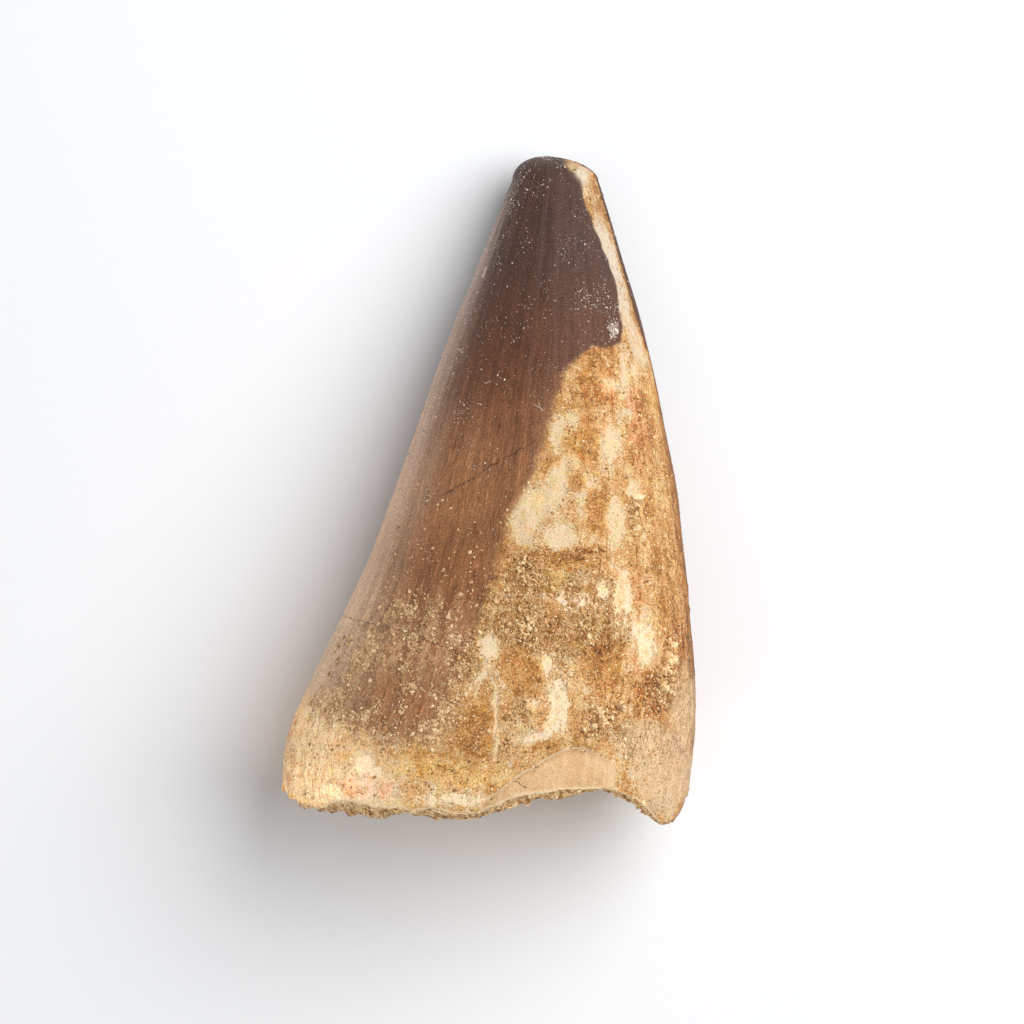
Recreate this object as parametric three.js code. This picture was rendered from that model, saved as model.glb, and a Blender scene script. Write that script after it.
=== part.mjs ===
// A fossil mosasaur tooth: one worn, broken-off crown, made as one closed solid.
//
// The tooth lies on its flatter face, with the tip towards +Y and the strongly rounded face up.
// Its surface has three stretches, each a set of rings around the tooth:
//   base  the fracture face that closes the root end, rough at its edge and hollow in its middle,
//   wall  from the broken rim of the base to the shoulder of the tip,
//   tip   a worn dome that closes the crown.
// Every ring is a polar superellipse: round above its widest height, and flatter below it.
// A long sliver has split off the right of the tip, which leaves a narrow flat facet.
//
// Units are millimetres, +Z is up and the tooth rests on z = 0. X and Y are centred on its box.

import * as THREE from "three";

// Driving dimensions
const LENGTH = 50;
const BASE_END = -LENGTH / 2;
const TIP_END = LENGTH / 2;
const TIP_SHOULDER = 23.3; // the height in Y where the wall turns into the worn dome
const APEX = { x: 4.3, z: 3.9 };
const TOP_ROUNDNESS = 2.1; // superellipse exponent of the upper, rounded face
const BACK_ROUNDNESS = 2.6; // and of the flatter face that the tooth lies on

// Mesh density
const AROUND = 76;
const BASE_RINGS = 7;
const WALL_RINGS = 34;
const TIP_RINGS = 5;

// The wall, station by station along the tooth: its edges seen from above, the height of its
// widest point, the crest of the rounded face and the lowest height of the back. Where the back
// would reach below zero, near the base and again near the tip, it is flat and the tooth rests.
const STATIONS = [
  { y: -25.0, left: -14.3, right: 14.4, waist: 8.9, crest: 20.4, back: 0.9 },
  { y: -22.5, left: -15.3, right: 14.95, waist: 9.2, crest: 21.5, back: 0.35 },
  { y: -18.0, left: -15.0, right: 15.4, waist: 9.0, crest: 21.5, back: -0.2 },
  { y: -14.0, left: -13.2, right: 15.45, waist: 8.6, crest: 20.8, back: -0.1 },
  { y: -9.0, left: -10.9, right: 15.1, waist: 8.0, crest: 19.5, back: 0.1 },
  { y: -4.0, left: -8.6, right: 14.5, waist: 7.4, crest: 18.0, back: 0.12 },
  { y: 3.0, left: -6.0, right: 13.45, waist: 6.4, crest: 15.6, back: 0.06 },
  { y: 11.0, left: -3.25, right: 11.85, waist: 5.3, crest: 12.4, back: -0.2 },
  { y: 18.0, left: -0.45, right: 9.8, waist: 4.4, crest: 9.3, back: 0.3 },
  { y: 23.3, left: 1.7, right: 8.15, waist: 3.85, crest: 6.9, back: 0.85 },
];

// The broken rim as points (x, y), across the upper face and across the back.
const RIM_ABOVE = [
  [-15.4, -22.6], [-14.4, -23.5], [-11.5, -23.3], [-9.8, -23.7], [-5.3, -23.6], [-4.1, -23.1],
  [-1.5, -23.3], [0.3, -23.35], [3.1, -22.4], [8.6, -22.1], [10.4, -22.2], [12.3, -23.2],
  [13.4, -24.8], [14.1, -24.7], [15.05, -22.2],
];
const RIM_BELOW = [
  [-15.4, -22.6], [-12.5, -23.2], [-8.5, -22.8], [-4.5, -22.2], [0.0, -22.4], [4.5, -21.6],
  [8.5, -21.3], [11.5, -21.9], [13.8, -23.4], [15.05, -22.6],
];

// The fracture face: its edge swells past the rim, and its middle is hollow. Places on it are
// given as a share of the way from the middle (0) to the rim (1).
const SWELL = { height: 0.55, from: 0.45, to: 0.85 };
const HOLLOW = { depth: 1.6, x: 0.4, z: 10.2 };
const RIM_MEAN = -23;
const SHELL_EDGE = 0.95;

// The flat facet on the right of the tip: how deep it is cut, and how far its face looks up.
const FACET = { from: 6, full: 13, depth: 0.3, lowTilt: 18, highTilt: 30 };

const smooth = (t) => THREE.MathUtils.smoothstep(t, 0, 1);

// A smooth curve through points whose first coordinate rises: a cubic on each span, with the
// slope at a point taken from its two neighbours.
function curveThrough(xs, values) {
  const last = xs.length - 1;
  const slope = xs.map((_, i) => {
    const before = Math.max(i - 1, 0);
    const after = Math.min(i + 1, last);
    return (values[after] - values[before]) / (xs[after] - xs[before]);
  });
  return (x) => {
    const at = THREE.MathUtils.clamp(x, xs[0], xs[last]);
    let i = 0;
    while (i < last - 1 && at > xs[i + 1]) i += 1;
    const span = xs[i + 1] - xs[i];
    const t = (at - xs[i]) / span;
    const start = (1 + 2 * t) * (1 - t) ** 2 * values[i] + t * (1 - t) ** 2 * span * slope[i];
    const end = t * t * (3 - 2 * t) * values[i + 1] + t * t * (t - 1) * span * slope[i + 1];
    return start + end;
  };
}

const alongTooth = (key) => curveThrough(STATIONS.map((s) => s.y), STATIONS.map((s) => s[key]));
const acrossRim = (rim) => curveThrough(rim.map(([x]) => x), rim.map(([, y]) => y));
const [left, right, waist, crest, back] = ["left", "right", "waist", "crest", "back"].map(alongTooth);
const rimAbove = acrossRim(RIM_ABOVE);
const rimBelow = acrossRim(RIM_BELOW);

// The radius of a ring where the facet's plane limits it.
function facetRadius(y, halfWidth, rise, angle, radius) {
  const depth = FACET.depth * smooth((y - FACET.from) / (FACET.full - FACET.from));
  const along = smooth((y - FACET.full) / (TIP_END - FACET.full));
  const tilt = THREE.MathUtils.degToRad(THREE.MathUtils.lerp(FACET.lowTilt, FACET.highTilt, along));
  const toPlane = Math.hypot(halfWidth * Math.cos(tilt), rise * Math.sin(tilt)) - depth;
  const towards = Math.cos(angle - tilt);
  return depth > 0 && towards > 0 ? Math.min(radius, toPlane / towards) : radius;
}

// One point of the ring at height y, at an angle that starts at +X and turns towards +Z.
function ringPoint(y, angle) {
  const halfWidth = (right(y) - left(y)) / 2;
  const rise = crest(y) - waist(y);
  const isAbove = Math.sin(angle) >= 0;
  const height = isAbove ? rise : waist(y) - back(y);
  const power = isAbove ? TOP_ROUNDNESS : BACK_ROUNDNESS;
  const across = Math.abs(Math.cos(angle) / halfWidth) ** power;
  const upright = Math.abs(Math.sin(angle) / height) ** power;
  const radius = facetRadius(y, halfWidth, rise, angle, (across + upright) ** (-1 / power));
  return {
    x: (left(y) + right(y)) / 2 + radius * Math.cos(angle),
    z: Math.max(waist(y) + radius * Math.sin(angle), 0),
  };
}

// The height in Y of the broken rim at an angle around the tooth.
function rimAt(angle) {
  const { x } = ringPoint(RIM_ABOVE[0][1], angle);
  const above = smooth((Math.sin(angle) + 0.25) / 0.5);
  return THREE.MathUtils.lerp(rimBelow(x), rimAbove(x), above);
}

// A point of the fracture face: the rim shrinks to the middle and dips into the hollow, and the
// rim's ups and downs fade towards the middle.
function basePoint(angle, share) {
  const rim = rimAt(angle);
  const edge = ringPoint(rim, angle);
  const level = RIM_MEAN + HOLLOW.depth * (1 - share ** 2) + (rim - RIM_MEAN) * share ** 5;
  const swell = SWELL.height * smooth((share - SWELL.from) / (SWELL.to - SWELL.from));
  return [
    HOLLOW.x + (edge.x - HOLLOW.x) * share,
    Math.max(level - swell, BASE_END),
    HOLLOW.z + (edge.z - HOLLOW.z) * share,
  ];
}

// A point of the wall, from the rim (share 0) to the shoulder (share 1).
function wallPoint(angle, share) {
  const y = THREE.MathUtils.lerp(rimAt(angle), TIP_SHOULDER, share);
  const { x, z } = ringPoint(y, angle);
  return [x, y, z];
}

// A point of the worn tip: half an ellipsoid from the shoulder (share 0) to the apex (share 1).
function tipPoint(angle, share) {
  const { x, z } = ringPoint(TIP_SHOULDER, angle);
  const turn = (share * Math.PI) / 2;
  return [
    APEX.x + (x - APEX.x) * Math.cos(turn),
    THREE.MathUtils.lerp(TIP_SHOULDER, TIP_END, Math.sin(turn)),
    APEX.z + (z - APEX.z) * Math.cos(turn),
  ];
}

// All rings from the middle of the base to the apex, as rows of points.
function toothRings() {
  const angles = Array.from({ length: AROUND }, (_, i) => (2 * Math.PI * i) / AROUND);
  const rows = (count, shareOf, pointAt) =>
    Array.from({ length: count }, (_, i) => angles.map((angle) => pointAt(angle, shareOf(i))));
  return [
    ...rows(BASE_RINGS, (i) => (SHELL_EDGE * (i + 1)) / BASE_RINGS, basePoint),
    ...rows(WALL_RINGS, (i) => i / (WALL_RINGS - 1), wallPoint),
    ...rows(TIP_RINGS, (i) => (i + 1) / (TIP_RINGS + 1), tipPoint),
  ];
}

// Joins the rings into one closed surface whose faces point out.
function toothGeometry() {
  const rows = toothRings();
  const middle = basePoint(0, 0);
  const apex = [APEX.x, TIP_END, APEX.z];
  const corner = (row, i) => 1 + row * AROUND + (i % AROUND);
  const apexIndex = 1 + rows.length * AROUND;
  const faces = [];
  for (let i = 0; i < AROUND; i += 1) {
    faces.push(0, corner(0, i), corner(0, i + 1));
    for (let row = 0; row < rows.length - 1; row += 1) {
      faces.push(corner(row, i), corner(row + 1, i), corner(row + 1, i + 1));
      faces.push(corner(row, i), corner(row + 1, i + 1), corner(row, i + 1));
    }
    faces.push(corner(rows.length - 1, i), apexIndex, corner(rows.length - 1, i + 1));
  }
  const geometry = new THREE.BufferGeometry();
  const points = [middle, ...rows.flat(), apex];
  geometry.setAttribute("position", new THREE.Float32BufferAttribute(points.flat(), 3));
  geometry.setIndex(faces);
  geometry.computeVertexNormals();
  return geometry;
}

// Centres the tooth on its own box in X and Y.
function centred(geometry) {
  geometry.computeBoundingBox();
  const { min, max } = geometry.boundingBox;
  return geometry.translate(-(min.x + max.x) / 2, -(min.y + max.y) / 2, 0);
}

const fossil = new THREE.MeshStandardMaterial({ color: 0x96704f, roughness: 0.5, metalness: 0 });
const tooth = new THREE.Mesh(centred(toothGeometry()), fossil);
tooth.name = "tooth";

const group = new THREE.Group();
group.add(tooth);

export default group;
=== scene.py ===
"""A worn fossil mosasaur tooth that lies on its flatter face, with the sand that still clings to it."""

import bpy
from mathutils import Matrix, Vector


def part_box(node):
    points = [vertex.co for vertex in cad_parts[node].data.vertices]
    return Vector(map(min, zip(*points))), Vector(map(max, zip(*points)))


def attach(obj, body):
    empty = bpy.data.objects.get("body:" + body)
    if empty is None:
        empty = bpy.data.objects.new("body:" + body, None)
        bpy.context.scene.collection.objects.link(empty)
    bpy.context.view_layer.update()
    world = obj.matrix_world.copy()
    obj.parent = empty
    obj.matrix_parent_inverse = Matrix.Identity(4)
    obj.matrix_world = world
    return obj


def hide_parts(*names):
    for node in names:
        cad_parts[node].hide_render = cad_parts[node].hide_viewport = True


bl_info = {
    "name": "Fossil Mosasaur Tooth",
    "version": (1, 0, 0),
    "blender": (4, 5, 0),
    "location": "View3D > Sidebar > Fossil",
    "description": "Builds a worn mosasaur tooth, its clinging grit and a plain stage",
    "category": "Add Mesh",
}

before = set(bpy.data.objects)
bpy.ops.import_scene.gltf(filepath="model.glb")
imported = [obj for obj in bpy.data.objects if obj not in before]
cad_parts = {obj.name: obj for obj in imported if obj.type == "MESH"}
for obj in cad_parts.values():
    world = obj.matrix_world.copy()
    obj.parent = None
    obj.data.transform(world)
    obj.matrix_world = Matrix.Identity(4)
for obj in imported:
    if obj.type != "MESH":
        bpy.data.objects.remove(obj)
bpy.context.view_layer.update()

import math

import bpy
import numpy as np
from bpy.props import FloatProperty, FloatVectorProperty, IntProperty, PointerProperty

MM = 0.001  # sizes below are in millimetres unless said otherwise, and meshes are in metres

# ---------------------------------------------------------------------------------------------
# The shape of the crown
# ---------------------------------------------------------------------------------------------

# Height in Y along the tooth, its left and right edge seen from above, the height of its widest
# point, the crest of the rounded face and the lowest height of the back.
STATIONS = np.array([
    (-25.0, -14.2, 14.4, 8.9, 20.4, 0.9),
    (-22.5, -15.2, 14.95, 9.2, 21.5, 0.35),
    (-18.0, -14.85, 15.4, 9.0, 21.5, -0.2),
    (-14.0, -13.05, 15.45, 8.6, 20.8, -0.1),
    (-9.0, -10.6, 15.1, 8.0, 19.5, 0.1),
    (-4.0, -8.4, 14.5, 7.4, 18.0, 0.12),
    (3.0, -5.85, 13.45, 6.4, 15.6, 0.06),
    (11.0, -3.1, 11.85, 5.3, 12.4, -0.2),
    (18.0, -0.25, 9.8, 4.4, 9.3, 0.3),
    (23.3, 1.95, 8.15, 3.85, 6.9, 0.85),
])
TOP_ROUNDNESS = 2.1
BACK_ROUNDNESS = 2.6
TIP_SHOULDER, TIP_END = 23.3, 25.0
APEX_X, APEX_Z = 4.3, 3.9

# The broken rim as points (x, y), across the upper face and across the back
RIM_ABOVE = np.array([
    (-15.4, -22.1), (-14.9, -22.8), (-13.9, -23.35), (-11.6, -23.7), (-10.2, -23.6), (-9.7, -24.0),
    (-9.1, -24.25), (-8.4, -24.25), (-8.0, -24.0), (-6.2, -23.85), (-4.5, -24.0), (-2.7, -24.0),
    (-0.7, -23.85), (1.0, -23.3), (3.0, -22.8), (4.6, -22.75), (5.4, -22.85), (7.1, -22.4),
    (8.3, -22.05), (9.5, -22.2), (10.3, -22.5), (11.3, -23.2), (12.3, -24.1), (13.1, -24.65),
    (13.9, -24.75), (14.4, -24.2), (15.05, -22.2),
])
RIM_BELOW = np.array([
    (-15.4, -22.6), (-12.5, -23.2), (-8.5, -22.8), (-4.5, -22.2), (0.0, -22.4), (4.5, -21.6),
    (8.5, -21.3), (11.5, -21.9), (13.8, -23.4), (15.05, -22.6),
])
# The lip on the upper face, where the smooth shell ends and its crumbling edge begins
LIP = np.array([
    (-15.4, -25.0), (-13.4, -24.0), (-12.0, -23.4), (-11.2, -22.95), (-10.0, -22.85), (-8.2, -23.25),
    (-6.4, -23.25), (-5.3, -23.45), (-3.9, -23.2), (-2.9, -23.6), (-2.0, -23.7), (-0.5, -23.6),
    (1.0, -23.0), (2.4, -22.4), (4.6, -22.2), (5.4, -22.05), (7.1, -22.0), (8.3, -22.0),
    (10.1, -22.5), (11.3, -23.2), (12.3, -24.2), (13.4, -25.5), (15.5, -26.0),
])
RIM_MEAN = -23.0
HOLLOW_DEPTH, HOLLOW_X, HOLLOW_Z = 1.6, 0.4, 10.2
SHELL_EDGE = 0.965  # share of the way to the rim where the shell's broken edge begins
SWELL_HEIGHT, SWELL_FROM, SWELL_TO = 0.55, 0.45, 0.85

# The flat facet on the right of the tip
FACET_FROM, FACET_FULL, FACET_DEPTH = 6.0, 13.0, 0.3
FACET_TILTS = (18.0, 30.0)

# Mesh density: rings on the fracture face, the wall and the worn tip, and points around a ring
BASE_RINGS, WALL_RINGS, TIP_RINGS = 42, 190, 15
AROUND = 400
CROWDING = 0.25  # how much closer together the points of a ring stand on the upper face
FLOW_RADIUS = 14.0  # radius of the cylinder that the flow coordinates are wound on
OUTSIDE = -3.0  # depth given to a place far from every patch
NOISE_REACH = 1.6  # stretches the lattice noise, whose blended corners seldom come near 1
GROWTH_DENSITY = 26.0  # how closely the growth lines lie on the fracture face

# ---------------------------------------------------------------------------------------------
# Where the colours and the relief lie, in plan on the upper face
# ---------------------------------------------------------------------------------------------

# The edge of the brown enamel, from the tip down its right side and back along the root
ENAMEL_OUTLINE = np.array([
    (5.0, 25.6), (5.9, 24.4), (6.4, 23.9), (7.0, 22.9), (7.0, 21.7), (7.9, 19.5), (9.0, 17.1),
    (9.7, 14.8), (10.1, 12.1), (9.9, 10.9), (8.9, 10.4), (7.6, 10.5), (6.2, 9.3), (5.3, 7.8),
    (4.7, 5.4), (4.1, 3.1), (3.0, 0.2), (1.4, -2.0), (1.0, -4.5), (0.0, -7.7), (-1.3, -11.1),
    (-2.3, -15.0), (-4.2, -18.2), (-6.9, -18.4), (-10.0, -17.4), (-11.8, -15.4), (-13.7, -15.1),
    (-19.0, -14.6), (-19.0, 27.0),
])
# The smooth chip above the rim on the right
CHIP_OUTLINE = np.array([
    (1.6, -21.4), (2.4, -20.7), (3.3, -20.3), (4.1, -19.7), (5.0, -19.3), (5.9, -18.9),
    (7.0, -18.9), (8.0, -19.3), (9.3, -20.0), (9.3, -26.0), (-1.0, -26.0), (-0.5, -23.0),
])

# Soft ellipses: centre x and y, half-width, half-length, and a turn in degrees where there is one
PATCHES = {
    # clean, smooth dentine
    "ivory": (
        (10.2, 9.0, 0.4, 1.4), (9.0, 7.7, 0.7, 0.6), (11.1, 9.1, 0.4, 0.9),
        (5.1, 4.1, 0.5, 1.3, -15), (6.1, 5.1, 0.35, 0.35), (9.1, 3.2, 0.7, 1.4),
        (10.7, 0.1, 0.5, 0.7), (4.9, 0.0, 0.8, 2.3, -18), (3.1, -2.0, 1.2, 2.0, -20),
        (5.3, -3.4, 1.3, 0.8), (7.6, 0.6, 0.45, 0.45), (6.9, -0.9, 0.3, 0.6), (9.5, -2.3, 0.8, 1.7),
        (9.9, -7.6, 0.6, 1.9), (8.5, -7.5, 0.5, 0.5), (11.6, -11.1, 0.6, 2.0, 5),
        (10.8, -10.5, 0.35, 0.9), (0.1, -11.6, 0.8, 0.85), (-0.5, -13.8, 0.25, 1.7, -35),
        (0.5, -17.1, 0.17, 2.3, 4), (5.2, -15.8, 0.6, 2.1), (4.8, -17.4, 0.9, 0.45),
        (3.5, -18.0, 1.4, 0.33, 5), (3.2, -15.9, 0.6, 0.4), (1.1, -14.4, 0.35, 0.35),
        (-9.1, -20.1, 0.7, 0.8), (-8.2, -20.6, 0.5, 0.35), (11.3, 10.8, 0.5, 1.8, 12),
        (10.4, 13.4, 0.55, 2.4, 16), (9.2, 17.6, 0.7, 2.6, 22), (7.0, 23.6, 0.6, 0.8),
        (-2.2, -22.6, 2.4, 0.35), (-11.5, -22.3, 1.2, 0.4), (5.4, -8.2, 0.3, 0.55),
        (6.8, -8.3, 0.6, 0.3), (4.4, -12.7, 0.5, 0.7), (7.3, 1.0, 0.3, 0.5, 20),
        (6.4, 2.2, 0.25, 0.35), (7.0, -1.6, 0.25, 0.4, 30),
    ),
    # lightly stained dentine between the ivory
    "cream": (
        (9.8, 5.6, 0.9, 5.0), (5.3, -13.0, 1.4, 1.5), (11.8, -8.5, 0.6, 3.2, 3),
        (-0.5, -12.2, 1.1, 1.0), (1.2, -20.5, 2.6, 0.8, 10), (7.0, -15.4, 1.2, 1.7),
        (4.2, -1.6, 2.2, 3.2, -20), (9.7, -3.4, 0.9, 2.6), (10.0, -8.4, 0.8, 2.6),
        (6.2, -6.6, 1.2, 0.8), (-9.0, -21.8, 4.5, 1.6), (12.6, 6.5, 0.5, 2.5, 10),
        (12.6, 0.6, 0.5, 2.6, 6), (13.2, -22.6, 1.3, 1.7), (10.6, -20.9, 1.2, 1.3),
        (12.4, -20.6, 1.0, 0.9), (-12.6, -21.5, 2.6, 1.6), (7.6, 21.6, 0.5, 1.6, 12),
        (2.6, -17.2, 1.8, 0.9), (-12.6, -19.0, 1.6, 4.0), (-3.0, -22.0, 3.0, 0.9),
    ),
    # enamel that stays free of crumbs
    "clear": (
        (-7.3, -14.5, 0.9, 0.9), (-5.0, -16.1, 1.3, 1.2, 20), (-12.4, -10.5, 0.8, 4.0, -25),
        (-8.6, -10.1, 0.3, 2.8, 77), (-4.0, -11.5, 0.35, 2.4, 68),
    ),
    # ochre and orange stains
    "ochre": (
        (8.0, 8.2, 1.6, 1.9), (6.6, 0.7, 0.8, 0.5), (8.1, -1.5, 0.8, 2.0), (-0.9, -17.0, 1.5, 2.7),
        (8.6, -13.1, 1.5, 2.1), (12.9, -9.3, 0.5, 1.9), (6.3, -5.2, 2.2, 0.9),
        (7.5, 20.9, 0.4, 1.2, 10), (10.3, -21.9, 0.4, 0.25), (11.6, -22.7, 0.7, 0.25, 40),
        (4.1, 1.0, 0.3, 1.0, -25), (7.6, 10.1, 1.7, 0.6), (2.3, -13.4, 1.6, 2.0),
        (12.3, -15.3, 1.4, 1.9), (7.2, 3.4, 1.0, 1.6), (-5.5, -21.2, 0.7, 0.5),
    ),
    # rusty red stains
    "rust": (
        (10.9, 6.3, 0.55, 0.9), (11.3, 4.3, 1.1, 1.1), (11.1, 1.7, 0.4, 1.0),
        (11.0, -7.8, 0.6, 1.6), (12.3, -15.3, 1.5, 1.9), (8.2, -15.2, 0.24, 0.2),
        (-7.6, -22.0, 0.7, 0.8), (-10.0, -21.9, 0.6, 0.5), (10.9, -22.0, 0.3, 0.25),
        (5.3, -22.4, 0.8, 0.3), (3.4, -18.8, 0.7, 0.35), (13.9, -19.9, 0.25, 1.2),
        (8.6, 7.0, 1.1, 0.8), (11.0, -13.0, 0.35, 0.6), (13.9, -12.0, 0.6, 3.0),
    ),
    # grey-green stains
    "olive": (
        (7.3, -10.4, 2.1, 1.3), (4.9, -6.7, 1.0, 1.1), (10.9, -17.9, 1.2, 0.6),
        (9.5, -3.4, 0.25, 0.4), (-5.2, -20.4, 2.4, 0.6), (2.3, -16.3, 0.7, 0.7),
        (1.4, -2.4, 0.4, 1.0, -15), (6.1, -18.5, 0.9, 0.4),
    ),
    "yellow": (
        (-1.7, -20.8, 2.4, 0.9), (-4.9, -20.0, 1.8, 0.9), (3.4, -0.9, 0.6, 0.5),
        (6.6, 3.0, 0.5, 0.9), (12.2, 6.8, 0.35, 1.2, 8), (4.7, -6.6, 1.0, 0.9),
    ),
    # granular crust
    "crust": (
        (3.0, -6.4, 2.0, 1.9), (2.2, -9.5, 2.2, 2.2), (7.3, -8.0, 2.6, 2.3), (5.1, -11.1, 2.7, 1.7),
        (-0.5, -10.0, 0.8, 2.0), (8.9, -10.0, 1.7, 2.3), (2.3, -16.3, 0.9, 0.9),
        (1.3, -18.7, 0.5, 0.5), (10.6, -19.6, 0.5, 0.3), (10.9, -2.4, 0.5, 1.6),
        (-14.9, -19.5, 0.7, 3.2), (8.7, -17.4, 1.9, 1.0, -40), (5.9, -5.0, 2.6, 0.7),
        (-1.6, -12.6, 1.0, 1.7), (12.7, -14.8, 1.5, 1.7),
    ),
    # dark grains and manganese
    "dark": (
        (13.3, -13.5, 0.55, 2.0), (8.3, -16.9, 0.42, 2.1, -53), (10.9, -2.2, 0.22, 1.2),
        (2.9, -6.1, 0.8, 0.7), (1.3, -18.7, 0.35, 0.35), (7.0, -9.9, 1.3, 0.3, -70),
        (2.9, -10.2, 0.8, 1.0), (-1.9, -12.2, 0.6, 0.9),
    ),
    "pink": (
        (9.2, 7.9, 1.0, 0.5, 20), (10.9, 6.3, 0.7, 1.2), (11.2, 4.0, 1.0, 1.0),
        (7.0, 3.0, 0.5, 0.4), (-8.4, -21.8, 1.8, 0.9), (6.7, 0.0, 0.5, 0.5),
        (12.9, -21.0, 0.9, 1.4), (5.2, -9.0, 0.5, 0.4),
    ),
    # pale crumbs that cling to the brown enamel
    "dust": (
        (-9.0, -12.6, 3.2, 3.2), (-5.2, -10.0, 2.6, 2.0), (-5.6, -14.6, 3.2, 1.8),
        (-6.5, -17.6, 4.6, 1.6), (-1.6, -12.4, 1.4, 2.2), (-3.0, -16.5, 1.5, 1.5),
        (-11.6, -16.0, 2.0, 1.8),
    ),
    # fine wrinkles that run along the tooth
    "wrinkle": (
        (11.5, -18.7, 2.2, 1.5), (14.5, -16.5, 0.9, 3.0), (13.0, -20.8, 2.4, 3.0),
    ),
}
# The same on the back
BACK_PATCHES = {
    "bare": (
        (3.2, -11.0, 2.6, 4.0, 24), (1.6, -6.2, 1.3, 3.0, -12), (4.8, -7.6, 1.1, 1.8, 30),
        (-4.6, -13.2, 2.2, 2.2, -20), (-6.4, -10.8, 0.9, 2.6, -16), (8.6, -2.0, 0.5, 4.6, 14),
    ),
    "ivory": (
        (3.9, -12.6, 0.9, 1.6, 40), (2.2, -8.4, 0.5, 1.5, -8), (-6.0, -19.5, 1.6, 1.0),
        (-5.0, -13.6, 0.5, 1.2, -30), (1.0, -18.6, 0.8, 0.5, 10), (7.4, -17.0, 0.7, 1.3, 15),
    ),
}

# Hairline cracks, pale scratches and pale veins: where each starts and ends in plan, and its width
CRACKS = (
    (-3.7, -0.9, -0.9, 0.9, 0.06), (-0.9, 0.9, 3.4, 3.4, 0.055), (-11.2, -9.6, -6.0, -10.7, 0.06),
    (-6.0, -10.7, -1.9, -12.3, 0.065), (-3.7, -20.8, 0.2, -19.9, 0.03), (1.6, -21.4, 2.8, -21.9, 0.04),
)
SCRATCHES = (
    (-0.3, 16.5, -0.55, 15.6, 0.1), (3.2, 6.1, 4.0, 5.6, 0.035), (3.6, 6.2, 3.9, 5.5, 0.035),
    (-0.4, 7.6, 0.1, 7.8, 0.04),
)
# One small spot of fresh rust, drawn as a short line
EMBERS = ((7.85, -15.2, 8.2, -15.1, 0.16),)
VEINS = (
    (-1.1, -15.4, 0.2, -12.4, 0.13), (0.4, -14.8, 0.5, -19.3, 0.11), (0.2, -12.6, 0.9, -14.9, 0.1),
)
# Fine striae on the enamel: how densely they lie, their width and strength, and what they
# multiply its colour by
STRIAE = (
    (1.3, 0.022, 0.95, (0.56, 0.5, 0.46)), (2.6, 0.03, 0.7, (0.56, 0.5, 0.46)),
    (1.9, 0.03, 0.8, (1.5, 1.46, 1.42)),
)
# On the sides, fine lines fade out between these values of z + FADE_SLOPE y, just under the
# tooth's widest line
FADE_SLOPE, FADE_LOW, FADE_HIGH = 0.11, 5.2, 6.4

# The stage: the floor's half side, how far beside the tooth's middle the camera stands, and, in
# metres, where the two lights are and how wide the weak one is
FLOOR_REACH = 1500.0
CAMERA_SHIFT = (1.65, -1.9)
KEY_PLACE, GLOW_PLACE = (0.22, 0.12, 0.32), (-0.45, -0.30, 0.05)
GLOW_SIZE = 0.14
SKY_COLOUR = (0.95, 0.98, 1.02, 1.0)
SENSOR_WIDTH = 36.0

# What each vertex attribute of the crown holds
ATTRIBUTES = {
    "zones": ("enamel", "ivory", "crust"),
    "stains": ("ochre", "rust", "yellow"),
    "soils": ("olive", "dark", "dust"),
    "marks": ("wrinkle", "chip", "lip"),
    "tones": ("cream", "pink", "clear"),
}


def smooth(t):
    """0 below 0, 1 above 1 and the cubic 3t^2 - 2t^3 between them."""
    t = np.clip(t, 0.0, 1.0)
    return t * t * (3.0 - 2.0 * t)


def lerp(a, b, t):
    return a + (b - a) * t


def curve_through(xs, values, at):
    """A smooth curve through points: a cubic on each span, with the slope at a point taken from
    its two neighbours."""
    slope = np.empty_like(values)
    slope[1:-1] = (values[2:] - values[:-2]) / (xs[2:] - xs[:-2])
    slope[0] = (values[1] - values[0]) / (xs[1] - xs[0])
    slope[-1] = (values[-1] - values[-2]) / (xs[-1] - xs[-2])
    at = np.clip(at, xs[0], xs[-1])
    i = np.clip(np.searchsorted(xs, at, side="right") - 1, 0, len(xs) - 2)
    span = xs[i + 1] - xs[i]
    t = (at - xs[i]) / span
    start = (1 + 2 * t) * (1 - t) ** 2 * values[i] + t * (1 - t) ** 2 * span * slope[i]
    end = t * t * (3 - 2 * t) * values[i + 1] + t * t * (t - 1) * span * slope[i + 1]
    return start + end


def lattice_noise(points, size, seed, octaves=3):
    """Smooth noise between about -1 and 1. Each corner of a cubic lattice has a value hashed from
    its three whole numbers, and a point blends the eight corners around it. Each further octave
    has half the size and half the strength."""
    total = np.zeros(points.shape[:-1])
    strength, reach = 1.0, 0.0
    for octave in range(octaves):
        place = points / size * 2.0 ** octave + 37.0 * octave
        cell = np.floor(place).astype(np.int64)
        share = smooth(place - cell)
        value = np.zeros_like(total)
        for corner in np.ndindex(2, 2, 2):
            x, y, z = np.moveaxis(cell + corner, -1, 0)
            hashed = (x * 73856093) ^ (y * 19349663) ^ (z * 83492791) ^ ((seed + octave) * 2654435761)
            hashed = ((hashed ^ (hashed >> 13)) * 1274126177) & 0xFFFFFFFF
            hashed = ((hashed ^ (hashed >> 16)) * 73244475) & 0xFFFFFFFF
            weight = np.prod(np.where(corner, share, 1.0 - share), axis=-1)
            value += weight * (hashed / 2147483648.0 - 1.0)
        total += strength * value
        reach += strength
        strength *= 0.5
    return total / reach * NOISE_REACH


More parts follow.
